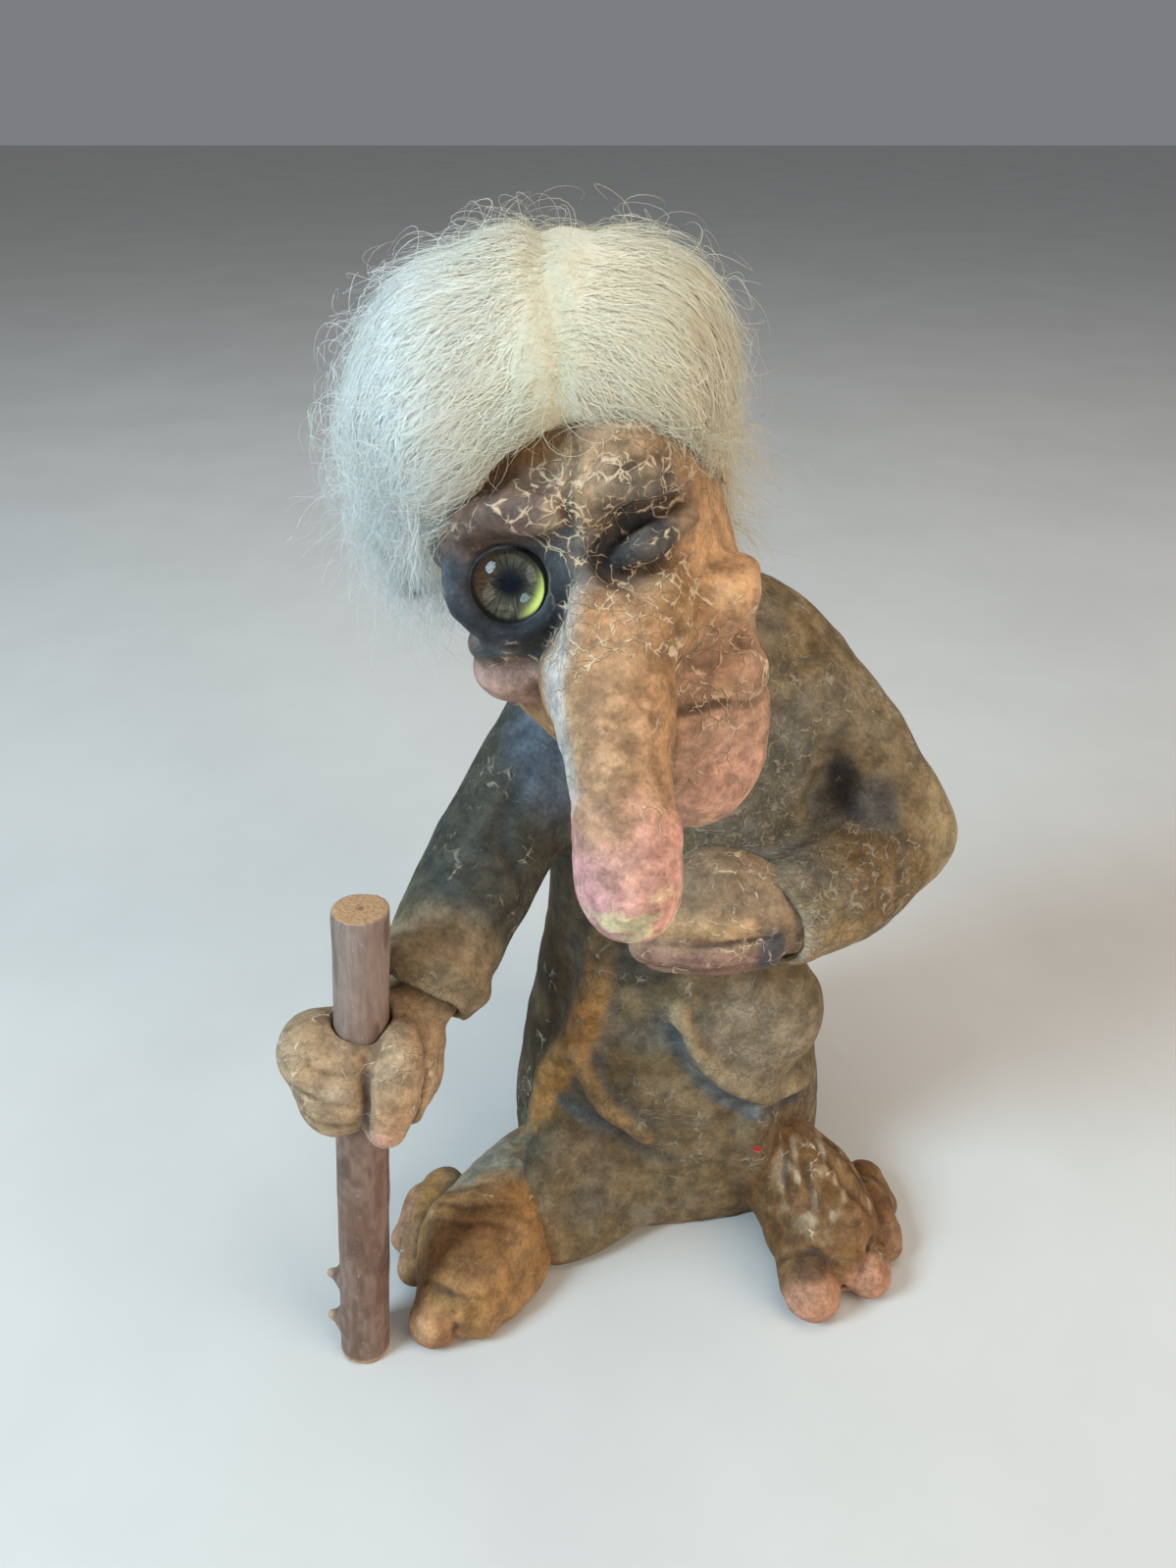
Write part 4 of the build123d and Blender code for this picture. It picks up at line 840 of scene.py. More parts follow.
def left_hand_paint(coat):
    p = coat.points
    mottle = grain(p, 4.0, 63)
    # Paler on raised parts: a painted highlight, with random mottle
    coat.wash((0.42, 0.27, 0.145), 0.6 * coat.ridge + 0.5 * (mottle - 0.4))
    coat.stroke((0.52, 0.31, 0.155), 0.75, ((12, -44, 108.5), (5, -45, 108.5), (-3, -43, 107.5)), 4.2)
    coat.stroke((0.32, 0.17, 0.135), 0.85, ((16, -43, 100), (4, -45, 99.6), (-6, -42, 99)), 6.0)
    coat.wash((0.25, 0.145, 0.105), 0.8 * fade(p[:, 2], 98.5, 94.5))
    coat.wash((0.26, 0.170, 0.100), 0.85 * fade(p[:, 2], 109.5, 113.5))
    coat.wash((0.26, 0.175, 0.105), 0.85 * fade(p[:, 0], 13.0, 19.0) * fade(p[:, 2], 102.0, 106.0))
    # Painted shade: umber in the hollows
    coat.wash(UMBER, 0.5 * coat.hollow_shade)
    # Painted shadow: dark blue where the fingers meet the cuff
    coat.dab((0.06, 0.068, 0.085), 0.85, (18.5, -41, 100.5), (3.0, 7, 6.5))
    return 0.22 + 0.4 * grain(p, 7.0, 64)


# Feet

# The crease between the staff-side foot and its small outer toes, with radii
TOE_SEAM = ((-53, -26, 18, 0.5), (-57, -37, 13.5, 0.9), (-58, -47, 9.5, 0.7), (-58.5, -55, 3.5, 0.4))


def right_foot_clay():
    clay = Clay((-78, -78, -3), (-14, -4, 36), 0.5)
    clay.add(
        limb((-33, -20, 9, 10.5), (-41, -34, 9.5, 13.0), (-47, -46, 9, 14.0), (-49.5, -54, 8, 11.6)), 0
    )
    clay.add(limb((-34, -24, 11, 9.5), (-42, -34, 13, 9.0)), 5)
    clay.add(limb((-34.5, -36, 6.5, 7.5), (-37, -47, 5.6, 8.0), (-40.5, -54, 5.0, 6.8)), 3)
    # Front toe, its neighbour, and the small toes in a row at the outer side
    clay.add(limb((-53, -57, 6.8, 7.2), (-55.5, -62.5, 5.6, 6.2)), 1.4)
    clay.add(limb((-44.5, -56, 5.4, 6.4), (-45.5, -61, 4.6, 5.2)), 2.0)
    clay.add(limb((-57, -27, 7.5, 6.0), (-61, -38, 6.4, 6.0), (-61.5, -47.5, 5.2, 5.0)), 1.0)
    clay.add(limb((-62, -29, 5.4, 5.0), (-64.5, -39, 4.8, 4.6)), 1.0)
    clay.cut(limb(*TOE_SEAM), 1.2)
    groove(clay, ((-50.5, -60, 13, 0.1), (-50.5, -65.5, 8, 0.6), (-50.5, -68, 3, 0.6)), 1.2)
    clay.add(egg((-40.5, -45, 12), (8.5, 9.5, 8.5)), 3)
    clay.add(egg((-53.0, -44, 13.5), (7.0, 9.5, 7.5)), 3)
    groove(clay, ((-61, -55, 9, 0.1), (-55, -58.5, 13.6, 0.7), (-46, -59.5, 11.5, 0.1)), 1.8)
    groove(clay, ((-63, -33.5, 10.4, 0.3), (-63.2, -38, 9.6, 0.5), (-64, -45, 5, 0.5)), 0.7)
    for y in (-34.0, -40.0, -45.0):
        groove(clay, ((-57, y, 18, 0.1), (-49, y - 4, 25, 0.4), (-41, y - 3, 20, 0.1)), 1.8)
    clay.cut(arc((-56.6, -66.4, 9.8), (0.94, -0.34, 0), (-0.25, 0.70, 0.55), 2.9, 0.32, 0, 180, 9), 0.4)
    clay.worked(0.4, (5.0, 0.4, 71), (2.0, 0.14, 72))
    clay.cut(below(0.05), 0.0)
    return clay


def right_foot_paint(coat):
    p = coat.points
    mottle = grain(p, 4.5, 73)
    # Paler on raised parts: a painted highlight, with random mottle
    coat.wash((0.38, 0.225, 0.11), 0.7 * coat.ridge + 0.6 * (mottle - 0.4))
    coat.dab((0.16, 0.075, 0.030), 0.6 * (0.4 + mottle), (-48, -52, 20), (9, 8, 6))
    coat.dab((0.36, 0.170, 0.080), 0.75, (-56, -64, 5.5), (7, 7, 6))
    coat.dab((0.46, 0.26, 0.13), 0.8, (-57, -67, 8.4), (2.6, 3, 2.2))
    coat.dab((0.36, 0.20, 0.085), 0.65 * (0.4 + mottle), (-39, -56, 6), (7, 8, 6))
    # Pale grey on the ankle: partly the cloth's colour, partly painted window light
    coat.dab((0.27, 0.25, 0.185), 0.85 * (0.35 + mottle), (-45, -27, 20), (11, 9, 9))
    coat.dab((0.33, 0.18, 0.125), 0.6, (-65, -38, 5), (6, 12, 6))
    # Painted shade: umber in the hollows and a dark line along the crease by the small toes
    coat.wash(UMBER, 0.6 * coat.hollow_shade)
    coat.stroke((0.05, 0.033, 0.025), 0.8, [knot[:3] for knot in TOE_SEAM], 2.0)
    return 0.3 * grain(p, 8.0, 74)


def left_foot_clay():
    clay = Clay((8, -72, -3), (70, -4, 36), 0.5)
    clay.add(limb((28, -18, 10, 12), (35.5, -29, 11, 13.2), (40, -38, 9.5, 13.0), (41, -44, 7.5, 10.4)), 0)
    clay.add(limb((29, -21, 16, 11.0), (37, -29, 14.5, 10.0)), 5)
    clay.add(limb((30, -26, 6.5, 6.5), (31.5, -40, 5.6, 6.0)), 3)
    # Two big toes in front and two small ones at the outer side
    clay.add(limb((34.5, -43, 7.6, 7.6), (34.0, -51, 6.8, 7.4), (34.5, -55.4, 6.0, 6.8)), 1.2)
    clay.add(limb((46.5, -41, 7.2, 7.0), (48.3, -47.0, 6.2, 6.4), (48.8, -50.0, 5.6, 5.7)), 1.2)
    clay.add(limb((51.5, -29, 6.6, 6.2), (54.4, -37, 5.4, 5.3), (55.2, -41.0, 4.7, 4.4)), 1.0)
    clay.add(limb((53.5, -22, 5.6, 5.4), (56.0, -29, 4.8, 4.6)), 1.0)
    clay.cut(limb((41, -41, 14.5, 0.5), (41.5, -48, 9.5, 1.0), (41.8, -56, 3.5, 1.2)), 0.8)
    clay.cut(limb((50.5, -36, 11.8, 0.4), (52.3, -42.5, 7.6, 0.8), (53.5, -47.5, 3.5, 0.8)), 0.8)
    for across, ahead in ((-6.5, -40), (-2.0, -44), (3.0, -42), (7.5, -38)):
        back = (35 + across * 0.6, ahead + 15, 24.0, 0.1)
        middle = (37.5 + across, ahead + 8, 20.0, 0.7)
        groove(clay, (back, middle, (40 + across * 1.2, ahead + 2, 17.0, 0.05)), 1.3)
    groove(clay, ((28.5, -49.5, 8.0, 0.3), (34.0, -50.0, 14.5, 0.8), (39.5, -49.5, 9.0, 0.3)), 1.0)
    groove(clay, ((43.5, -46, 8.4, 0.3), (48.2, -45.5, 12.9, 0.7), (52.8, -44.5, 8.2, 0.3)), 1.0)
    for x, y, z, reach in ((34.6, -58.0, 10.6, 3.6), (49.0, -52.4, 9.6, 3.0)):
        nail = [
            (x + reach * cos(t), y + 0.8 * reach * sin(t), z + 0.6 * reach * sin(t), 0.4)
            for t in (0, 0.8, 1.57, 2.3, 3.14)
        ]
        groove(clay, nail, 0.4)
    clay.worked(0.4, (5.0, 0.35, 81), (2.0, 0.14, 82))
    clay.cut(below(0.05), 0.0)
    return clay


def left_foot_paint(coat):
    p = coat.points
    mottle = grain(p, 4.5, 83)
    # Paler on raised parts: a painted highlight, brighter where the mottle is
    coat.wash((0.40, 0.26, 0.145), 0.95 * coat.ridge * (0.3 + mottle))
    coat.wash((0.21, 0.11, 0.045), 0.6 * (mottle - 0.3))
    streak = fade(grain(p * (1.0, 0.4, 0.7), 1.8, 85), 0.52, 0.80) * spot(p, (40, -34, 20), (11, 12, 9))
    coat.wash((0.50, 0.39, 0.26), 0.7 * streak)
    coat.dab((0.50, 0.245, 0.150), 0.9, (34.5, -59, 5), (7.5, 6.5, 7.0))
    coat.dab((0.50, 0.245, 0.150), 0.9, (48.8, -53, 5), (6.5, 6.5, 6.5))
    coat.dab((0.34, 0.18, 0.105), 0.65, (55.5, -40, 4), (5, 6, 6))
    coat.dab((0.09, 0.048, 0.028), 0.75, (34.2, -53.5, 12), (3.6, 3.4, 3))
    # Painted shade: umber in the hollows
    coat.wash(UMBER, 0.6 * coat.hollow_shade)
    return 0.05 + 0.3 * grain(p, 8.0, 84)


# Walking stick


def staff_clay():
    clay = Clay((-13, -9, -4), (9, 9, STAFF_LENGTH + 5), 0.42)
    clay.add(limb((0, 0, -12, STAFF_RADIUS), (0, 0, STAFF_LENGTH + 12, STAFF_RADIUS)), 0)
    for height in (9.0, 22.5):
        clay.add(limb((-4.0, 0, height - 1.2, 1.6), (-7.4, 0, height + 0.6, 1.15)), 1.0)
        clay.add(egg((-5.2, 0, height), (1.2, 2.4, 2.8)), 1.5)
    clay.knead(7.0, 0.12, 91)
    clay.knead(1.5, 0.08, 92, (1, 1, 0.12))
    # Sawn square at the top with one chipped edge, worn at the foot
    top = (0, 0, STAFF_LENGTH)
    for origin, normal, reach, low, high, soft in (
        (top, (-0.05, -0.02, 1.0), 0.0, STAFF_LENGTH - 2, STAFF_LENGTH + 9, 0.25),
        ((0, 0, 0.15), (0, 0, -1), 0.0, -9, 1, 0.25),
        (top, (-0.72, -0.25, 0.65), 3.55, STAFF_LENGTH - 9, STAFF_LENGTH + 9, 0.2),
    ):
        clay.cut(beyond(origin, normal, reach, (-13, -9, low), (9, 9, high)), soft)
    return clay


def staff_paint(coat):
    p, up = coat.points, coat.out[:, 2]
    rim = np.linalg.norm(p[:, :2], axis=1)
    sawn = fade(up, 0.55, 0.8) * fade(p[:, 2], STAFF_LENGTH - 6.0, STAFF_LENGTH - 4.5)
    sawn = np.maximum(sawn, fade(-up, 0.5, 0.8) * fade(p[:, 2], 3.0, 1.0))
    sawn = np.maximum(sawn, 0.9 * fade(p[:, 2], 1.6, 0.8))
    sawn = np.maximum(sawn, 0.8 * fade(rim, 7.0, 7.8))
    streak = 0.5 * grain(p * (1, 1, 0.10), 1.3, 93) + 0.5 * grain(p * (1, 1, 0.7), 1.4, 95)
    coat.wash((0.31, 0.205, 0.160), 0.7 * fade(streak, 0.3, 0.8))
    coat.wash((0.37, 0.275, 0.235), 0.6 * fade(p[:, 2], 70.0, 112.0))
    coat.wash((0.10, 0.055, 0.04), 0.6 * fade(grain(p * (1, 1, 0.3), 2.2, 94), 0.62, 0.8))
    coat.dab((0.52, 0.42, 0.33), 0.5 * coat.ridge, (-7, 0, 17), (3, 3, 12))
    coat.wash((0.56, 0.325, 0.165), sawn)
    coat.wash((0.20, 0.10, 0.05), 0.8 * sawn * fade(rim, 1.0, 0.5))
    coat.wash((0.33, 0.17, 0.08), fade(np.sin(rim * 5.2), 0.2, 0.9) * sawn * 0.22)
    return np.zeros(len(p))


# Wig

HAIRLINE = (4.0, -22.0, -1.5)
HAIRLINE_HALVES = (29.5, 22.0, 37.0)
RIBBON_WIDTH = 0.15
# No hair comes nearer than this to the middle of the open eye
EYE_ROOM = 12.0
# Half sizes of the scalp, where no wool starts
SCALP_HALVES = (23.0, 25.0, 29.0)


def hide_clay():
    """The thin hide that carries the wool, kept back from the hairline."""
    clay = Clay((-32, -34, -12), (34, 36, 50), 0.8)
    clay.add(egg((0, 0, 14), (26.6, 28.1, 30.6)), 0)
    clay.cut(egg((0, 0, 14), (25.2, 26.7, 29.2)), 0)
    clay.cut(egg(HAIRLINE, np.array(HAIRLINE_HALVES) + 4.0), 0.5)
    clay.cut(egg((0, -60, 14), (90, 52, 90)), 0.5)
    clay.cut(below(12.0, 60), 0.5)
    return clay


def wig_clay():
    clay = Clay((-76, -76, 150), (40, 34, 252), 0.9)
    clay.add(egg((-41.8, -30.0, 210.0), (16.6, 27.0, 21.6)), 0)
    clay.add(egg((-11.5, -29.5, 213.0), (15.6, 27.0, 20.5)), 4)
    clay.add(egg((-26.0, -29.0, 211.5), (26.0, 28.0, 25.6)), 5)
    clay.add(egg(from_head((1, 10, 16)), (26.0, 21.5, 25.0), HEAD_AXES), 5)
    clay.add(limb((-46, -29, 203, 13.5), (-49, -30, 191, 9.0), (-48.5, -32, 181, 4.6)), 5)
    # Room for the head, and the hairline over the brow
    clay.cut(egg(from_head((1.5, -10, -8)), (24.5, 32, 33.5), HEAD_AXES), 2.0)
    clay.cut(egg(from_head(HAIRLINE), HAIRLINE_HALVES, HEAD_AXES), 2.0)
    parting = ((2.5, -60, 214, 0.5), (2, -56, 224, 0.5), (-1, -40, 236, 0.4), (-2, -10, 236, 0.3))
    groove(clay, [(PARTING_X + x, y, z, 0.6 * r) for x, y, z, r in parting], 4.0)
    clay.knead(11.0, 0.9, 101)
    clay.knead(4.0, 0.3, 102)
    return clay


def flow(points, normal):
    """The way the wool is combed: from the parting over each lobe and down, and down over the brow."""
    gap = points[:, 0] - PARTING_X + 11.0 * (grain(points, 9.0, 103) - 0.5)
    side = np.where(gap < 0.0, -1.0, 1.0)
    over = np.interp(np.abs(gap), (0, 8, 20, 30, 40), (30, 12, -18, -60, -85))
    front = np.interp(np.abs(gap), (0, 10, 24, 36), (-30, -32, -45, -75))
    ahead = fade(-normal[:, 1], 0.35, 0.85)
    lean = np.radians(over * (1.0 - ahead) + front * ahead)
    out = np.stack([side * np.cos(lean), np.zeros(len(points)), np.sin(lean)], axis=1)
    out[:, 1] = np.interp(points[:, 1], (-60, -45, -10, 15, 30), (-0.05, -0.28, 0.0, 0.35, 0.2))
    return out


def combed(points, normal, lead):
    """The combed ways at points, led aside a little and laid along the surface."""
    way = flow(points, normal) + lead
    return unit(way - normal * np.sum(way * normal, axis=1, keepdims=True))


def rooted(clay, roots, count, rng):
    """Some of the roots, and the ways out of the wool there."""
    start = roots[rng.integers(0, len(roots), count)]
    return start, clay.slope(start)


def strands(clay, roots, count, steps, length, lift, wave, seed):
    """Paths that follow the combing over the wig's surface, and the way each one faces."""
    rng = np.random.default_rng(seed)
    start = roots[rng.integers(0, len(roots), count)] + rng.normal(0.0, 0.5, (count, 3))
    long = length * rng.uniform(0.5, 1.3, count)
    raise_by = lift * rng.uniform(0.2, 1.0, count) ** 1.7
    lead = rng.normal(0.0, 0.26, (count, 3))
    sway = wave * rng.uniform(0.2, 1.0, count)
    beat = rng.uniform(0.8, 2.4, count)
    phase = rng.uniform(0.0, 2 * pi, count)
    path = np.zeros((count, steps + 1, 3))
    facing = np.zeros((count, steps + 1, 3))
    here = start - clay.slope(start) * (clay.at(clay.field, start)[:, None] + 1.0)
    path[:, 0] = here
    facing[:, 0] = clay.slope(here)
    for k in range(1, steps + 1):
        t = k / steps
        normal = clay.slope(here)
        way = combed(here, normal, lead)
        here = here + way * (long / steps)[:, None]
        height = clay.at(clay.field, here)
        goal = -0.5 + raise_by * t**1.3 + 0.6 * t
        here = here + clay.slope(here) * np.clip(goal - height, -4.0, 4.0)[:, None] * 0.85
        swing = sway * np.sin(beat * 2 * pi * t + phase) * t
        path[:, k] = here + np.cross(normal, way) * swing[:, None]
        facing[:, k] = normal
    return path, facing, rng.random(count)


def curls(clay, roots, count, seed):
    """Paths of loose curling hairs that stand away from the wool."""
    rng = np.random.default_rng(seed)
    start, normal = rooted(clay, roots, count, rng)
    side = unit(np.cross(normal, rng.normal(0.0, 1.0, (count, 3))))
    other = np.cross(normal, side)
    steps = 12
    reach = rng.uniform(2.0, 8.0, count)
    ring = rng.uniform(1.5, 5.0, count)
    turns = rng.uniform(0.4, 1.2, count)
    drop = rng.uniform(0.0, 5.0, count)
    path = np.zeros((count, steps + 1, 3))
    for k in range(steps + 1):
        t = k / steps
        angle = turns * 2 * pi * t
        path[:, k] = (
            start
            + normal * (-1.0 + reach * np.sin(t * pi * 0.62))[:, None]
            + side * (ring * np.sin(angle))[:, None]
            + other * (ring * (1.0 - np.cos(angle)) * 0.8)[:, None]
        )
        path[:, k, 2] -= drop * t * t
    return path, rng.random(count)


def wisps(clay, roots, count, seed):
    """Paths of thin wavy hairs that hang below the wool."""
    rng = np.random.default_rng(seed)
    start, normal = rooted(clay, roots, count, rng)
    way = unit(rng.normal(0.0, 0.35, (count, 3)) + np.array((0.15, -0.1, -1.0)) + 0.5 * normal)
    side = unit(np.cross(way, rng.normal(0.0, 1.0, (count, 3))))
    long = rng.uniform(5.0, 20.0, count)
    wave = rng.uniform(0.6, 2.6, count)
    beat = rng.uniform(0.5, 1.6, count)
    path = []
    for t in np.linspace(0.0, 1.0, 12):
        swing = wave * np.sin(2 * pi * beat * t) * t
        curl = wave * (1.0 - np.cos(2 * pi * beat * t)) * t
        place = start - normal + way * (long * t)[:, None]
        path.append(place + side * swing[:, None] + np.cross(way, side) * curl[:, None])
    return np.stack(path, axis=1), rng.random(count)


def fringe(clay, roots, count, seed):
    """Paths of short hairs that hang from the hairline over the brow."""
    rng = np.random.default_rng(seed)
    start, normal = rooted(clay, roots, count, rng)
    way = combed(start, normal, rng.normal(0.0, 0.3, (count, 3)))
    reach = rng.uniform(3.0, 10.0, count)
    rise = rng.uniform(0.3, 1.6, count)
    path = []
    for t in np.linspace(0.0, 1.0, 7):
        lifted = rise * np.sin(2.6 * t) - 0.5 - 0.10 * reach * t * t
        path.append(start + way * (reach * t)[:, None] + normal * lifted[:, None])
    return np.stack(path, axis=1), rng.random(count)


def ribbon_piece(name, path, facing, shade):
    """Turns strand paths into one mesh of thin flat fibres that lie on the wool."""
    count, rings, _ = path.shape
    across = unit(np.cross(facing, np.gradient(path, axis=1)))
    taper = np.interp(np.linspace(0, 1, rings), (0, 0.6, 1.0), (1.0, 0.9, 0.2))
    half = 0.5 * RIBBON_WIDTH * (0.6 + 0.8 * shade[::-1, None, None]) * taper[None, :, None]
    points = np.stack([path - half * across, path + half * across], axis=2)
    index = np.arange(count * rings * 2).reshape(count, rings, 2)
    faces = np.stack([index[:, :-1, 0], index[:, :-1, 1], index[:, 1:, 1], index[:, 1:, 0]], axis=-1)
    obj = piece(name, points.reshape(-1, 3), faces.reshape(-1, 4), "figure", "wool", WOOL)
    mark(obj, "shade", np.repeat(shade, rings * 2))


def hair_piece(name, path, shade, thick):
    """Turns paths into one mesh of thin tapering three-sided hairs that leave the open eye clear."""
    gaps = np.linalg.norm(path - from_head(from_eye((0, -8, 0))), axis=2)
    clear = gaps.min(axis=1) > EYE_ROOM
    path, shade = path[clear], shade[clear]
    count, rings, _ = path.shape
    ahead = unit(np.gradient(path, axis=1))
    first = unit(np.cross(ahead, np.array((0.31, 0.87, 0.38))))
    second = np.cross(ahead, first)
    taper = np.interp(np.linspace(0, 1, rings), (0, 0.6, 1.0), (1.0, 0.9, 0.3))
    size = thick * (0.7 + 0.6 * shade[::-1, None, None]) * taper[None, :, None]
    points = np.zeros((count, rings, 3, 3))
    for k in range(3):
        turn = 2 * pi * k / 3
        points[:, :, k] = path + size * (cos(turn) * first + sin(turn) * second)
    index = np.arange(count * rings * 3).reshape(count, rings, 3)
    faces = []
    for k in range(3):
        a, b = index[:, :-1, k], index[:, :-1, (k + 1) % 3]
        c, d = index[:, 1:, (k + 1) % 3], index[:, 1:, k]
        faces.append(np.stack([a, b, c, d], axis=-1).reshape(-1, 4))
    obj = piece(name, points.reshape(-1, 3), np.vstack(faces), "figure", "wool", WOOL)
    mark(obj, "shade", np.repeat(shade, rings * 3))


# Eye

EYE_TURNS = 48
EYE_RADIUS = 6.9
EYE_DISC_FORWARD = 2.5
EYE_DOME_RISE = 5.0
# Air between the disc and the glass
EYE_GAP = 0.15


def turned(profile):
    """Points and faces of a profile of radius and forward reach, turned round the eye's axis."""
    points, faces, rows = [], [], []
    for radius, forward in profile:
        turns = EYE_TURNS if radius > 0.0 else 1
        rows.append([len(points) + k % turns for k in range(EYE_TURNS + 1)])
        for k in range(turns):
            turn = 2 * pi * k / EYE_TURNS
            points.append((radius * cos(turn), -forward, radius * sin(turn)))
    for inner, outer in zip(rows, rows[1:]):
        for k in range(EYE_TURNS):
            face = (inner[k], outer[k], outer[k + 1], inner[k + 1])
            faces.append(tuple(dict.fromkeys(face)))
    return np.array(points), faces


# Shader helpers


def wire(tree, kind, feeds=(), **settings):
    """Adds a node, with its settings and what feeds its sockets."""
    node = tree.nodes.new(kind)
    for name, value in settings.items():
        setattr(node, name, value)
    for key, value in dict(feeds).items():
        if isinstance(value, bpy.types.NodeSocket):
            tree.links.new(value, node.inputs[key])
        else:
            node.inputs[key].default_value = value
    return node


def sums(tree, operation, a, b=0.0):
    return wire(tree, "ShaderNodeMath", {0: a, 1: b}, operation=operation).outputs[0]


def ramped(tree, value, low, high, start=0.0, end=1.0):
    feeds = {"Value": value, "From Min": low, "From Max": high, "To Min": start, "To Max": end}
    return wire(tree, "ShaderNodeMapRange", feeds, interpolation_type="SMOOTHSTEP").outputs[0]


def mixed(tree, amount, a, b, blend="MIX"):
    feeds = {0: amount, 6: a, 7: b}
    return wire(tree, "ShaderNodeMix", feeds, data_type="RGBA", blend_type=blend).outputs[2]


def times(tree, a, b):
    return sums(tree, "MULTIPLY", a, b)


def vectors(tree, operation, a, b):
    """Sums of vectors. For SCALE, b is a plain factor."""
    feeds = {0: a, "Scale" if operation == "SCALE" else 1: b}
    return wire(tree, "ShaderNodeVectorMath", feeds, operation=operation).outputs[0]


def shaded(tree, colour, shade):
    """A colour made darker or lighter by a grey."""
    tone = wire(tree, "ShaderNodeCombineColor", {0: shade, 1: shade, 2: shade}).outputs[0]
    return mixed(tree, 1.0, colour, tone, "MULTIPLY")


def noise(tree, point, scale, detail, rough=0.55, output="Fac"):
    feeds = {"Vector": point, "Scale": scale, "Detail": detail, "Roughness": rough}
    return wire(tree, "ShaderNodeTexNoise", feeds).outputs[output]


def stored(tree, name):
    return wire(tree, "ShaderNodeAttribute", attribute_name=name)


def group(name, takes, gives):
    """An empty node group with named sockets, and its two ends."""
    tree = bpy.data.node_groups.new(name, "ShaderNodeTree")
    kinds = {"v": "NodeSocketVector", "c": "NodeSocketColor", "f": "NodeSocketFloat"}
    for label, kind in takes:
        tree.interface.new_socket(label, in_out="INPUT", socket_type=kinds[kind])
    for label, kind in gives:
        tree.interface.new_socket(label, in_out="OUTPUT", socket_type=kinds[kind])
    return tree, tree.nodes.new("NodeGroupInput"), tree.nodes.new("NodeGroupOutput")


def rgb(colour):
    return (*colour, 1.0)


def crackle_group():
    """Brushed paint over latex: mottled, with painted shade in the hollows and pale raised crackle lines.
    """
    takes = (("Point", "v"), ("Tint", "c"), ("Cracks", "f"), ("HollowShade", "f"), ("Line", "c"))
    gives = (("Colour", "c"), ("Height", "f"), ("Roughness", "f"))
    tree, into, outof = group("crackled paint", takes, gives)
    point = into.outputs["Point"]
    bent = point
    for scale, reach in ((0.13, 6.0), (0.75, 0.9)):
        bend = noise(tree, point, scale, 1.5, output="Color")
        shift = vectors(tree, "SCALE", vectors(tree, "SUBTRACT", bend, (0.5, 0.5, 0.5)), reach)
        bent = vectors(tree, "ADD", bent, shift)
    lines = 0.0
    for scale, width, low, high in ((0.17, 0.036, 0.42, 0.54), (0.36, 0.058, 0.48, 0.60)):
        feeds = {"Vector": bent, "Scale": scale}
        cells = wire(tree, "ShaderNodeTexVoronoi", feeds, feature="DISTANCE_TO_EDGE").outputs["Distance"]
        thin = ramped(tree, noise(tree, point, 0.5, 1.0), 0.35, 0.68, 0.35 * width, 2.0 * width)
        edge = ramped(tree, cells, thin, 0.0)
        where = times(tree, sums(tree, "SUBTRACT", into.outputs["Cracks"], 0.5), 0.55)
        where = sums(tree, "ADD", where, noise(tree, point, 0.07 + 0.15 * scale, 2.0))
        keep = ramped(tree, where, low, high)
        lines = sums(tree, "MAXIMUM", lines, times(tree, edge, keep))
    mottle = noise(tree, point, 0.24, 5.0, 0.60)
    shade = ramped(tree, mottle, 0.30, 0.70, 0.62, 1.26)
    colour = shaded(tree, into.outputs["Tint"], shade)
    fine = ramped(tree, noise(tree, point, 1.1, 4.0, 0.7), 0.34, 0.66, 0.83, 1.15)
    colour = shaded(tree, colour, fine)
    fleck = ramped(tree, noise(tree, point, 0.95, 3.0, 0.6), 0.60, 0.72)
    colour = mixed(tree, times(tree, fleck, 0.34), colour, rgb((0.060, 0.036, 0.024)))
    haze = ramped(tree, noise(tree, point, 0.9, 3.0, 0.7), 0.56, 0.74)
    colour = mixed(tree, times(tree, haze, 0.12), colour, into.outputs["Line"])
    # Painted shade: the hollows are darkened toward near black
    dark = times(tree, into.outputs["HollowShade"], 0.62)
    colour = mixed(tree, dark, colour, rgb((0.030, 0.027, 0.026)))
    colour = mixed(tree, times(tree, lines, 0.82), colour, into.outputs["Line"])
    tree.links.new(colour, outof.inputs["Colour"])
    rough = sums(tree, "ADD", times(tree, mottle, 0.35), 0.48)
    tree.links.new(rough, outof.inputs["Roughness"])
    pores = noise(tree, point, 2.2, 3.0, 0.6)
    height = sums(tree, "ADD", times(tree, lines, 0.9), times(tree, pores, 0.55))
    height = sums(tree, "ADD", height, times(tree, mottle, 0.5))
    tree.links.new(height, outof.inputs["Height"])
    return tree


def new_material(name):
    material = bpy.data.materials.new(name)
    material.use_nodes = True
    tree = material.node_tree
    return material, tree, tree.nodes["Principled BSDF"]


def place_mm(tree):
    """Object coordinates in millimetres."""
    place = wire(tree, "ShaderNodeTexCoord").outputs["Object"]
    return vectors(tree, "SCALE", place, 1.0 / MM)


def bumped(tree, shader, height, depth):
    bump = wire(tree, "ShaderNodeBump", {"Height": height, "Distance": depth, "Strength": 1.0})
    tree.links.new(bump.outputs[0], shader.inputs["Normal"])


CRACKLE = crackle_group()
PAINT_DEPTH = 0.0003
WOOL_SHEEN = 0.22


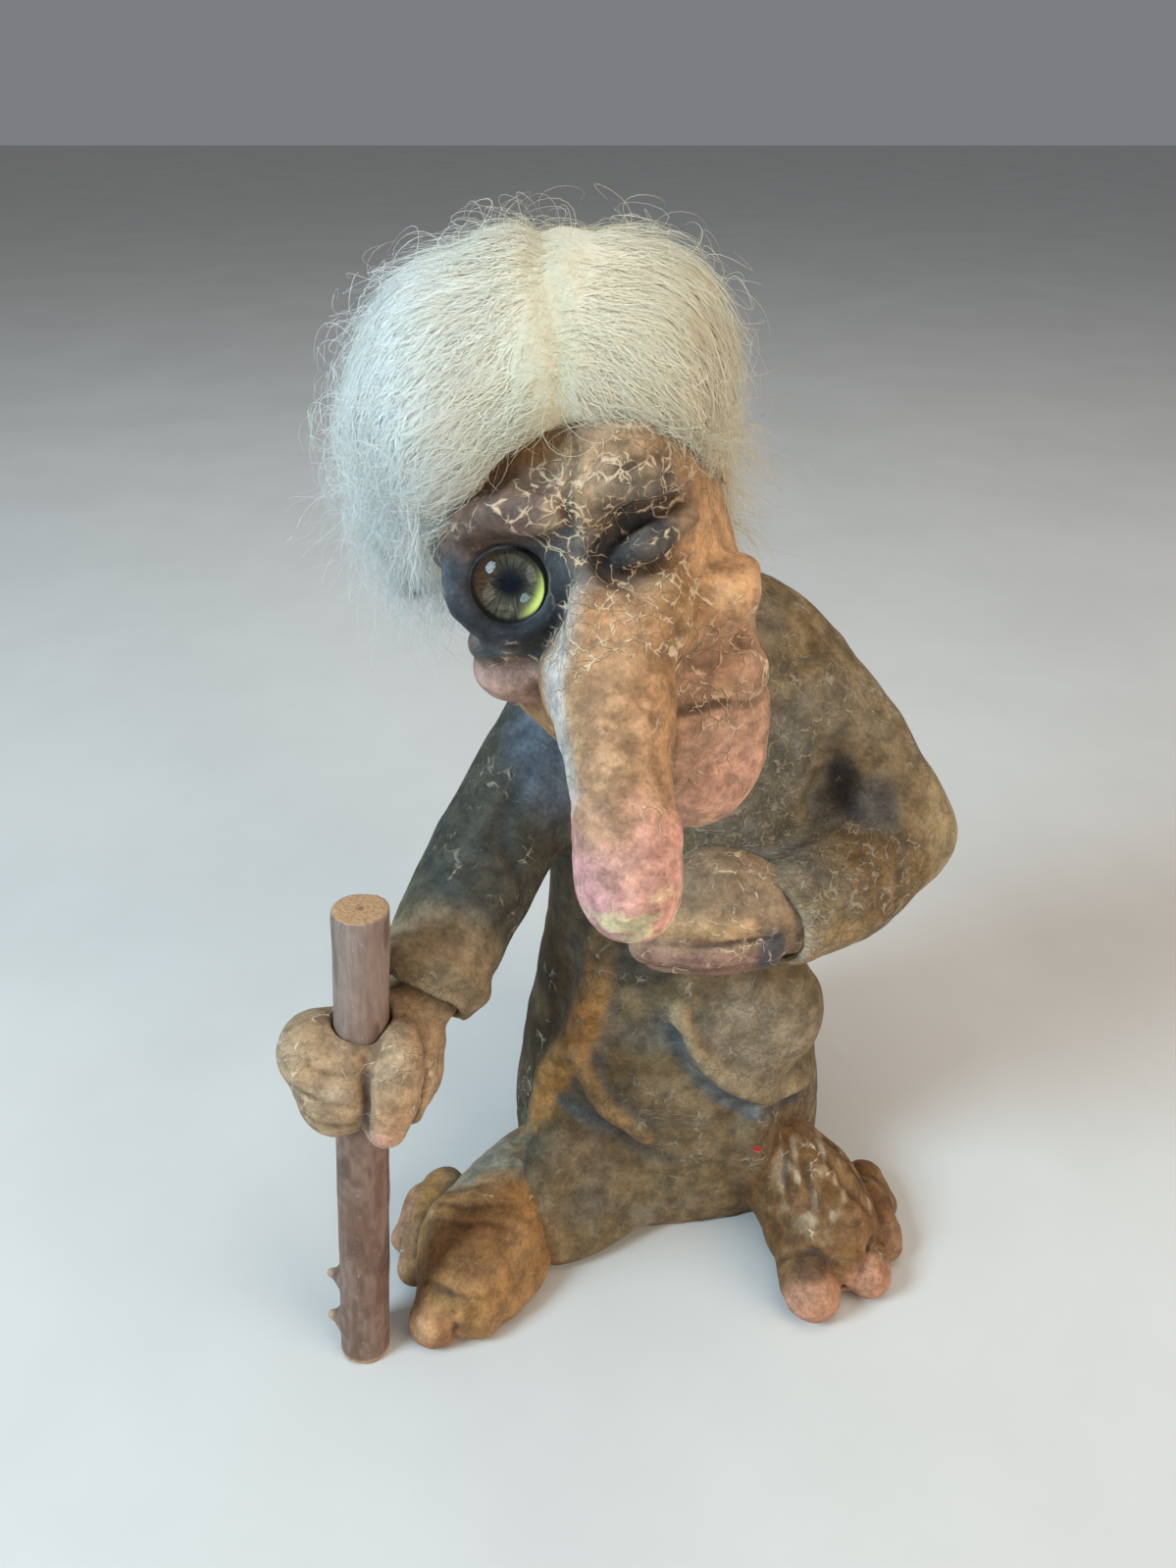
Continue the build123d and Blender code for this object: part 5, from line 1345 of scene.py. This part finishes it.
def painted(name, line, gloss):
    """Painted latex, its tint and crackle read from the piece."""
    material, tree, shader = new_material(name)
    feeds = {
        "Point": place_mm(tree),
        "Tint": stored(tree, "tint").outputs["Color"],
        "Cracks": stored(tree, "cracks").outputs["Fac"],
        "HollowShade": stored(tree, "hollow_shade").outputs["Fac"],
        "Line": rgb(line),
    }
    paint = wire(tree, "ShaderNodeGroup", feeds, node_tree=CRACKLE)
    tree.links.new(paint.outputs["Colour"], shader.inputs["Base Color"])
    tree.links.new(paint.outputs["Roughness"], shader.inputs["Roughness"])
    bumped(tree, shader, paint.outputs["Height"], PAINT_DEPTH)
    shader.inputs["Specular IOR Level"].default_value = gloss
    return material


def wool_light(tree, point, colour):
    """Painted window light on the wool: a brighter cool white at the staff side and a duller cream at the
    other.
    """
    across = wire(tree, "ShaderNodeSeparateXYZ", {0: point}).outputs[0]
    tone = mixed(tree, ramped(tree, across, -52.0, -24.0), rgb((1.04, 1.10, 1.22)), rgb((0.92, 0.87, 0.76)))
    # Painted shade along the parting
    aside = sums(tree, "ABSOLUTE", sums(tree, "SUBTRACT", across, PARTING_X))
    tone = mixed(tree, ramped(tree, aside, 7.0, 1.0, 0.0, 0.75), tone, rgb((0.80, 0.74, 0.60)))
    return mixed(tree, 1.0, colour, tone, "MULTIPLY")


def wool_material():
    material, tree, shader = new_material("wool strands")
    point = place_mm(tree)
    shade = stored(tree, "shade").outputs["Fac"]
    colour = mixed(tree, ramped(tree, shade, 0.0, 1.0), rgb((0.72, 0.69, 0.585)), rgb((0.80, 0.78, 0.685)))
    dirt = ramped(tree, noise(tree, point, 0.11, 2.0), 0.58, 0.75)
    colour = mixed(tree, times(tree, dirt, 0.22), colour, rgb((0.58, 0.47, 0.28)))
    tree.links.new(wool_light(tree, point, colour), shader.inputs["Base Color"])
    tree.links.new(ramped(tree, shade, 0.0, 1.0, 0.72, 0.55), shader.inputs["Roughness"])
    shader.inputs["Specular IOR Level"].default_value = 0.3
    shader.inputs["Sheen Weight"].default_value = WOOL_SHEEN
    return material


def fleece_material():
    material, tree, shader = new_material("wool mass")
    point = place_mm(tree)
    streak = noise(tree, point, 0.9, 4.0, 0.7)
    colour = mixed(tree, ramped(tree, streak, 0.3, 0.7), rgb((0.64, 0.61, 0.50)), rgb((0.77, 0.75, 0.66)))
    tree.links.new(wool_light(tree, point, colour), shader.inputs["Base Color"])
    shader.inputs["Roughness"].default_value = 0.85
    shader.inputs["Sheen Weight"].default_value = WOOL_SHEEN
    bumped(tree, shader, streak, 0.0006)
    return material


def bark_material():
    material, tree, shader = new_material("bark and sawn wood")
    point = place_mm(tree)
    streak = noise(tree, vectors(tree, "MULTIPLY", point, (1.0, 1.0, 0.10)), 1.1, 4.0, 0.65)
    shade = ramped(tree, streak, 0.3, 0.7, 0.82, 1.12)
    colour = shaded(tree, stored(tree, "tint").outputs["Color"], shade)
    speck = ramped(tree, noise(tree, point, 1.3, 2.0), 0.66, 0.74)
    colour = mixed(tree, times(tree, speck, 0.5), colour, rgb((0.55, 0.45, 0.36)))
    tree.links.new(colour, shader.inputs["Base Color"])
    tree.links.new(ramped(tree, streak, 0.2, 0.8, 0.5, 0.78), shader.inputs["Roughness"])
    bumped(tree, shader, streak, 0.0005)
    return material


def iris_material():
    material, tree, shader = new_material("eye paint")
    flat = vectors(tree, "SCALE", stored(tree, "disc").outputs["Vector"], 1.25)
    x, z, _ = wire(tree, "ShaderNodeSeparateXYZ", {0: flat}).outputs
    reach = wire(tree, "ShaderNodeVectorMath", {0: flat}, operation="LENGTH").outputs["Value"]
    turn = sums(tree, "ARCTAN2", z, x)
    rays = wire(tree, "ShaderNodeCombineXYZ", {0: times(tree, turn, 5.0), 1: times(tree, reach, 1.2)})
    streak = noise(tree, rays.outputs[0], 2.2, 3.0, 0.6)
    fibre = ramped(tree, streak, 0.35, 0.68)
    colour = mixed(tree, fibre, rgb((0.014, 0.013, 0.011)), rgb((0.085, 0.074, 0.042)))
    # A lime crescent at the lower right, a warm brown at the upper left, and a soft pupil
    lower_right = sums(tree, "SUBTRACT", times(tree, x, 0.75), times(tree, z, 0.66))
    band = times(tree, ramped(tree, reach, 0.55, 0.86), ramped(tree, lower_right, 0.42, 0.95))
    colour = mixed(tree, band, colour, rgb((0.60, 0.58, 0.13)))
    upper_left = sums(tree, "SUBTRACT", times(tree, z, 0.6), times(tree, x, 0.8))
    warm = ramped(tree, upper_left, 0.2, 0.9)
    colour = mixed(tree, times(tree, warm, 0.6), colour, rgb((0.085, 0.050, 0.034)))
    star = sums(tree, "ADD", reach, times(tree, sums(tree, "SUBTRACT", streak, 0.5), 0.42))
    colour = mixed(tree, ramped(tree, star, 0.58, 0.24), colour, rgb((0.003, 0.005, 0.009)))
    colour = mixed(tree, ramped(tree, reach, 0.88, 0.99), colour, rgb((0.012, 0.011, 0.010)))
    tree.links.new(colour, shader.inputs["Base Color"])
    shader.inputs["Roughness"].default_value = 0.4
    shader.inputs["Specular IOR Level"].default_value = 0.0
    return material


def lens_material():
    """Clear glass that lets the light through to the painted disc behind it."""
    material, tree, shader = new_material("eye glass")
    mist = noise(tree, place_mm(tree), 0.8, 2.0)
    tree.links.new(ramped(tree, mist, 0.3, 0.8, 0.015, 0.06), shader.inputs["Roughness"])
    shader.inputs["Transmission Weight"].default_value = 1.0
    shader.inputs["IOR"].default_value = 1.27
    shader.inputs["Base Color"].default_value = (1.0, 1.0, 1.0, 1.0)
    clear = wire(tree, "ShaderNodeBsdfTransparent")
    passing = wire(tree, "ShaderNodeLightPath").outputs["Is Shadow Ray"]
    both = wire(tree, "ShaderNodeMixShader", {0: passing, 1: shader.outputs[0], 2: clear.outputs[0]})
    tree.links.new(both.outputs[0], tree.nodes["Material Output"].inputs["Surface"])
    return material


def plain_material(name, dark, light, scale, rough, deep):
    """A mottled natural material for the foam, the hide and the floor."""
    material, tree, shader = new_material(name)
    mottle = noise(tree, place_mm(tree), scale, 4.0, 0.6)
    colour = mixed(tree, ramped(tree, mottle, 0.3, 0.7), rgb(dark), rgb(light))
    tree.links.new(colour, shader.inputs["Base Color"])
    shader.inputs["Roughness"].default_value = rough
    bumped(tree, shader, mottle, deep)
    return material


# The figure

SKIN = painted("skin paint", (0.72, 0.54, 0.36), 0.22)
CLOTH = painted("robe paint", (0.35, 0.30, 0.225), 0.08)
BARK = bark_material()
WOOL = wool_material()
FOAM = plain_material("foam filling", (0.60, 0.54, 0.40), (0.74, 0.69, 0.55), 1.4, 0.9, 0.0006)
HIDE = plain_material("wig hide", (0.42, 0.30, 0.18), (0.58, 0.45, 0.30), 0.6, 0.8, 0.0004)

cast(robe_clay(), "robe", "figure", "robe_paint", "robe_casting", as_is, OLIVE, robe_paint, CLOTH)
for clay, name, node, place, ground, painter in (
    (head_clay(), "head", "head_casting", from_head, OCHRE, head_paint),
    (right_hand_clay(), "staff_hand", "right_hand", from_fist, STAFF_HAND_BROWN, right_hand_paint),
    (left_hand_clay(), "belly_hand", "left_hand", as_is, BELLY_HAND_BROWN, left_hand_paint),
    (right_foot_clay(), "staff-side_foot", "right_foot", as_is, STAFF_FOOT_BROWN, right_foot_paint),
    (left_foot_clay(), "far-side_foot", "left_foot", as_is, FAR_FOOT_BROWN, left_foot_paint),
):
    cast(clay, name, "figure", "skin_paint", node, place, ground, painter, SKIN)
cast(staff_clay(), "walking_stick", "staff", "twig", "staff", from_staff, BARK_BROWN, staff_paint, BARK)

# The open eye: a painted disc, and a glass dome just in front of it
points, faces = turned([(reach, EYE_DISC_FORWARD) for reach in np.linspace(0.0, EYE_RADIUS, 12)])
placed = from_head(from_eye(points))
disc = piece("eye_disc", placed, faces, "figure", "eye_paint", iris_material(), "eye_iris")
mark(disc, "disc", np.stack([points[:, 0], points[:, 2], 0.0 * points[:, 0]], axis=1) / EYE_RADIUS)
dome_back = EYE_DISC_FORWARD + EYE_GAP
leans = np.linspace(0.0, pi / 2, 14)
dome = [(EYE_RADIUS * sin(lean), dome_back + EYE_DOME_RISE * cos(lean)) for lean in leans]
points, faces = turned([*dome, (0.0, dome_back)])
placed = from_head(from_eye(points))
piece("eye_dome", placed, faces, "figure", "eye_glass", lens_material(), "eye_lens")

# The wool: a soft mass, ribbons combed over it, and hairs that stand or hang away from it
fleece = wig_clay()
points, faces = fleece.skin()
piece("wool_mass", points, faces, "figure", "wool", fleece_material(), "wig_fleece")
outer = points[np.sum((to_head(points) / SCALP_HALVES - (0, 0, 0.5)) ** 2, axis=1) > 1.0]
x, y, z = outer.T
parted = outer[(np.abs(x - PARTING_X) < 5.0) & (z > 205.0)]
for name, roots, count, length, lift, seed in (
    ("combed_wool_1", outer, 11000, 17.0, 1.3, 111),
    ("combed_wool_2", outer, 11000, 17.0, 1.3, 112),
    ("combed_wool_3", outer, 11000, 17.0, 1.3, 113),
    ("parted_wool", parted, 3000, 7.0, 1.0, 115),
):
    path, facing, shade = strands(fleece, roots, count, 5, length, lift, 0.8, seed)
    ribbon_piece(name, path, facing, shade)
for name, roots, count, steps, length, lift, wave, seed, thick in (
    ("lifted_wool", outer, 2600, 8, 20.0, 5.0, 2.2, 121, 0.040),
    ("nape_wool", outer[y > -16.0], 1600, 7, 18.0, 3.0, 1.8, 123, 0.055),
):
    path, _, shade = strands(fleece, roots, count, steps, length, lift, wave, seed)
    hair_piece(name, path, shade, thick)
# More curls stand at the staff side, wisps hang at both low edges, and the fringe follows the hairline
staff_side = outer[(x < -46.0) & (z < 214.0)]
low_left = outer[(x < -38.0) & (z < 203.0)]
low_right = outer[(x > 1.0) & (z < 214.0) & (y < -10.0)]
own = to_head(outer)
from_edge = np.linalg.norm((own - HAIRLINE) / HAIRLINE_HALVES, axis=1)
brow = outer[(own[:, 1] < -12.0) & (own[:, 2] > 25.0) & (from_edge < 1.16)]
for name, paths, roots, count, seed, thick in (
    ("stray_curls", curls, np.vstack([outer, np.repeat(staff_side, 4, axis=0)]), 1300, 131, 0.036),
    ("hanging_wisps", wisps, np.vstack([low_left, low_right]), 1400, 151, 0.040),
    ("fringe_wool", fringe, brow, 800, 141, 0.045),
):
    path, shade = paths(fleece, roots, count, seed)
    hair_piece(name, path, shade, thick)

# Inside: the hide under the wool, and the filling of body and head
points, faces = hide_clay().skin()
piece("hide_cap", from_head(points), faces, "figure", "hide", HIDE, "wig_hide")
for name, node in (("body_foam", "body_filling"), ("head_foam", "head_filling")):
    inner = bpy.data.objects.new(name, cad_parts[node].data.copy())
    inner.data.materials.clear()
    inner.data.materials.append(FOAM)
    bpy.context.scene.collection.objects.link(inner)
    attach(inner, "figure")
    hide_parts(node)
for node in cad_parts.values():
    node.data.materials.clear()
    node.data.materials.append(FOAM)


# Floor, light and camera

CAMERA_PLACE = (-0.0195, -0.231, 0.260)
CAMERA_DOWN = radians(32.0)
CAMERA_SENSOR = 36.0
CAMERA_LENS = 27.02
WORLD_LIGHT = (0.92, 0.95, 1.0, 1.0)
WORLD_STRENGTH = 0.22

pale = plain_material("pale floor", (0.60, 0.585, 0.56), (0.64, 0.625, 0.60), 0.01, 0.7, 0.0)
floor_mesh = bpy.data.meshes.new("pale_floor")
floor_mesh.from_pydata([(-3, -2, 0), (3, -2, 0), (3, 4, 0), (-3, 4, 0)], [], [(0, 1, 2, 3)])
floor_piece = bpy.data.objects.new("pale_floor", floor_mesh)
bpy.context.scene.collection.objects.link(floor_piece)
floor_mesh.materials.append(pale)


def soft_light(name, place, target, size, power, colour):
    """A round lamp at a place, turned towards a target."""
    lamp = bpy.data.lights.new(name, "AREA")
    lamp.shape = "DISK"
    lamp.size = size
    lamp.energy = power
    lamp.color = colour
    obj = bpy.data.objects.new(name, lamp)
    obj.location = place
    obj.rotation_euler = (Vector(target) - Vector(place)).to_track_quat("-Z", "Y").to_euler()
    bpy.context.scene.collection.objects.link(obj)


soft_light("window", (-0.75, -0.45, 0.75), (-0.01, -0.03, 0.13), 0.42, 12.0, (0.60, 0.84, 1.0))
soft_light("room", (0.75, -0.60, 0.55), (-0.01, -0.03, 0.12), 0.8, 6.8, (1.0, 0.86, 0.68))
soft_light("ceiling", (0.05, -0.05, 1.15), (0.0, 0.0, 0.1), 0.9, 4.8, (1.0, 0.94, 0.86))

world = bpy.data.worlds.new("soft room")
world.use_nodes = True
world.node_tree.nodes["Background"].inputs["Color"].default_value = WORLD_LIGHT
world.node_tree.nodes["Background"].inputs["Strength"].default_value = WORLD_STRENGTH
bpy.context.scene.world = world

lens = bpy.data.cameras.new("photo camera")
lens.sensor_width = CAMERA_SENSOR
lens.lens = CAMERA_LENS
camera = bpy.data.objects.new("photo camera", lens)
camera.location = CAMERA_PLACE
camera.rotation_euler = (pi / 2 - CAMERA_DOWN, 0.0, 0.0)
bpy.context.scene.collection.objects.link(camera)
bpy.context.scene.camera = camera
bpy.context.scene.view_settings.view_transform = "Standard"
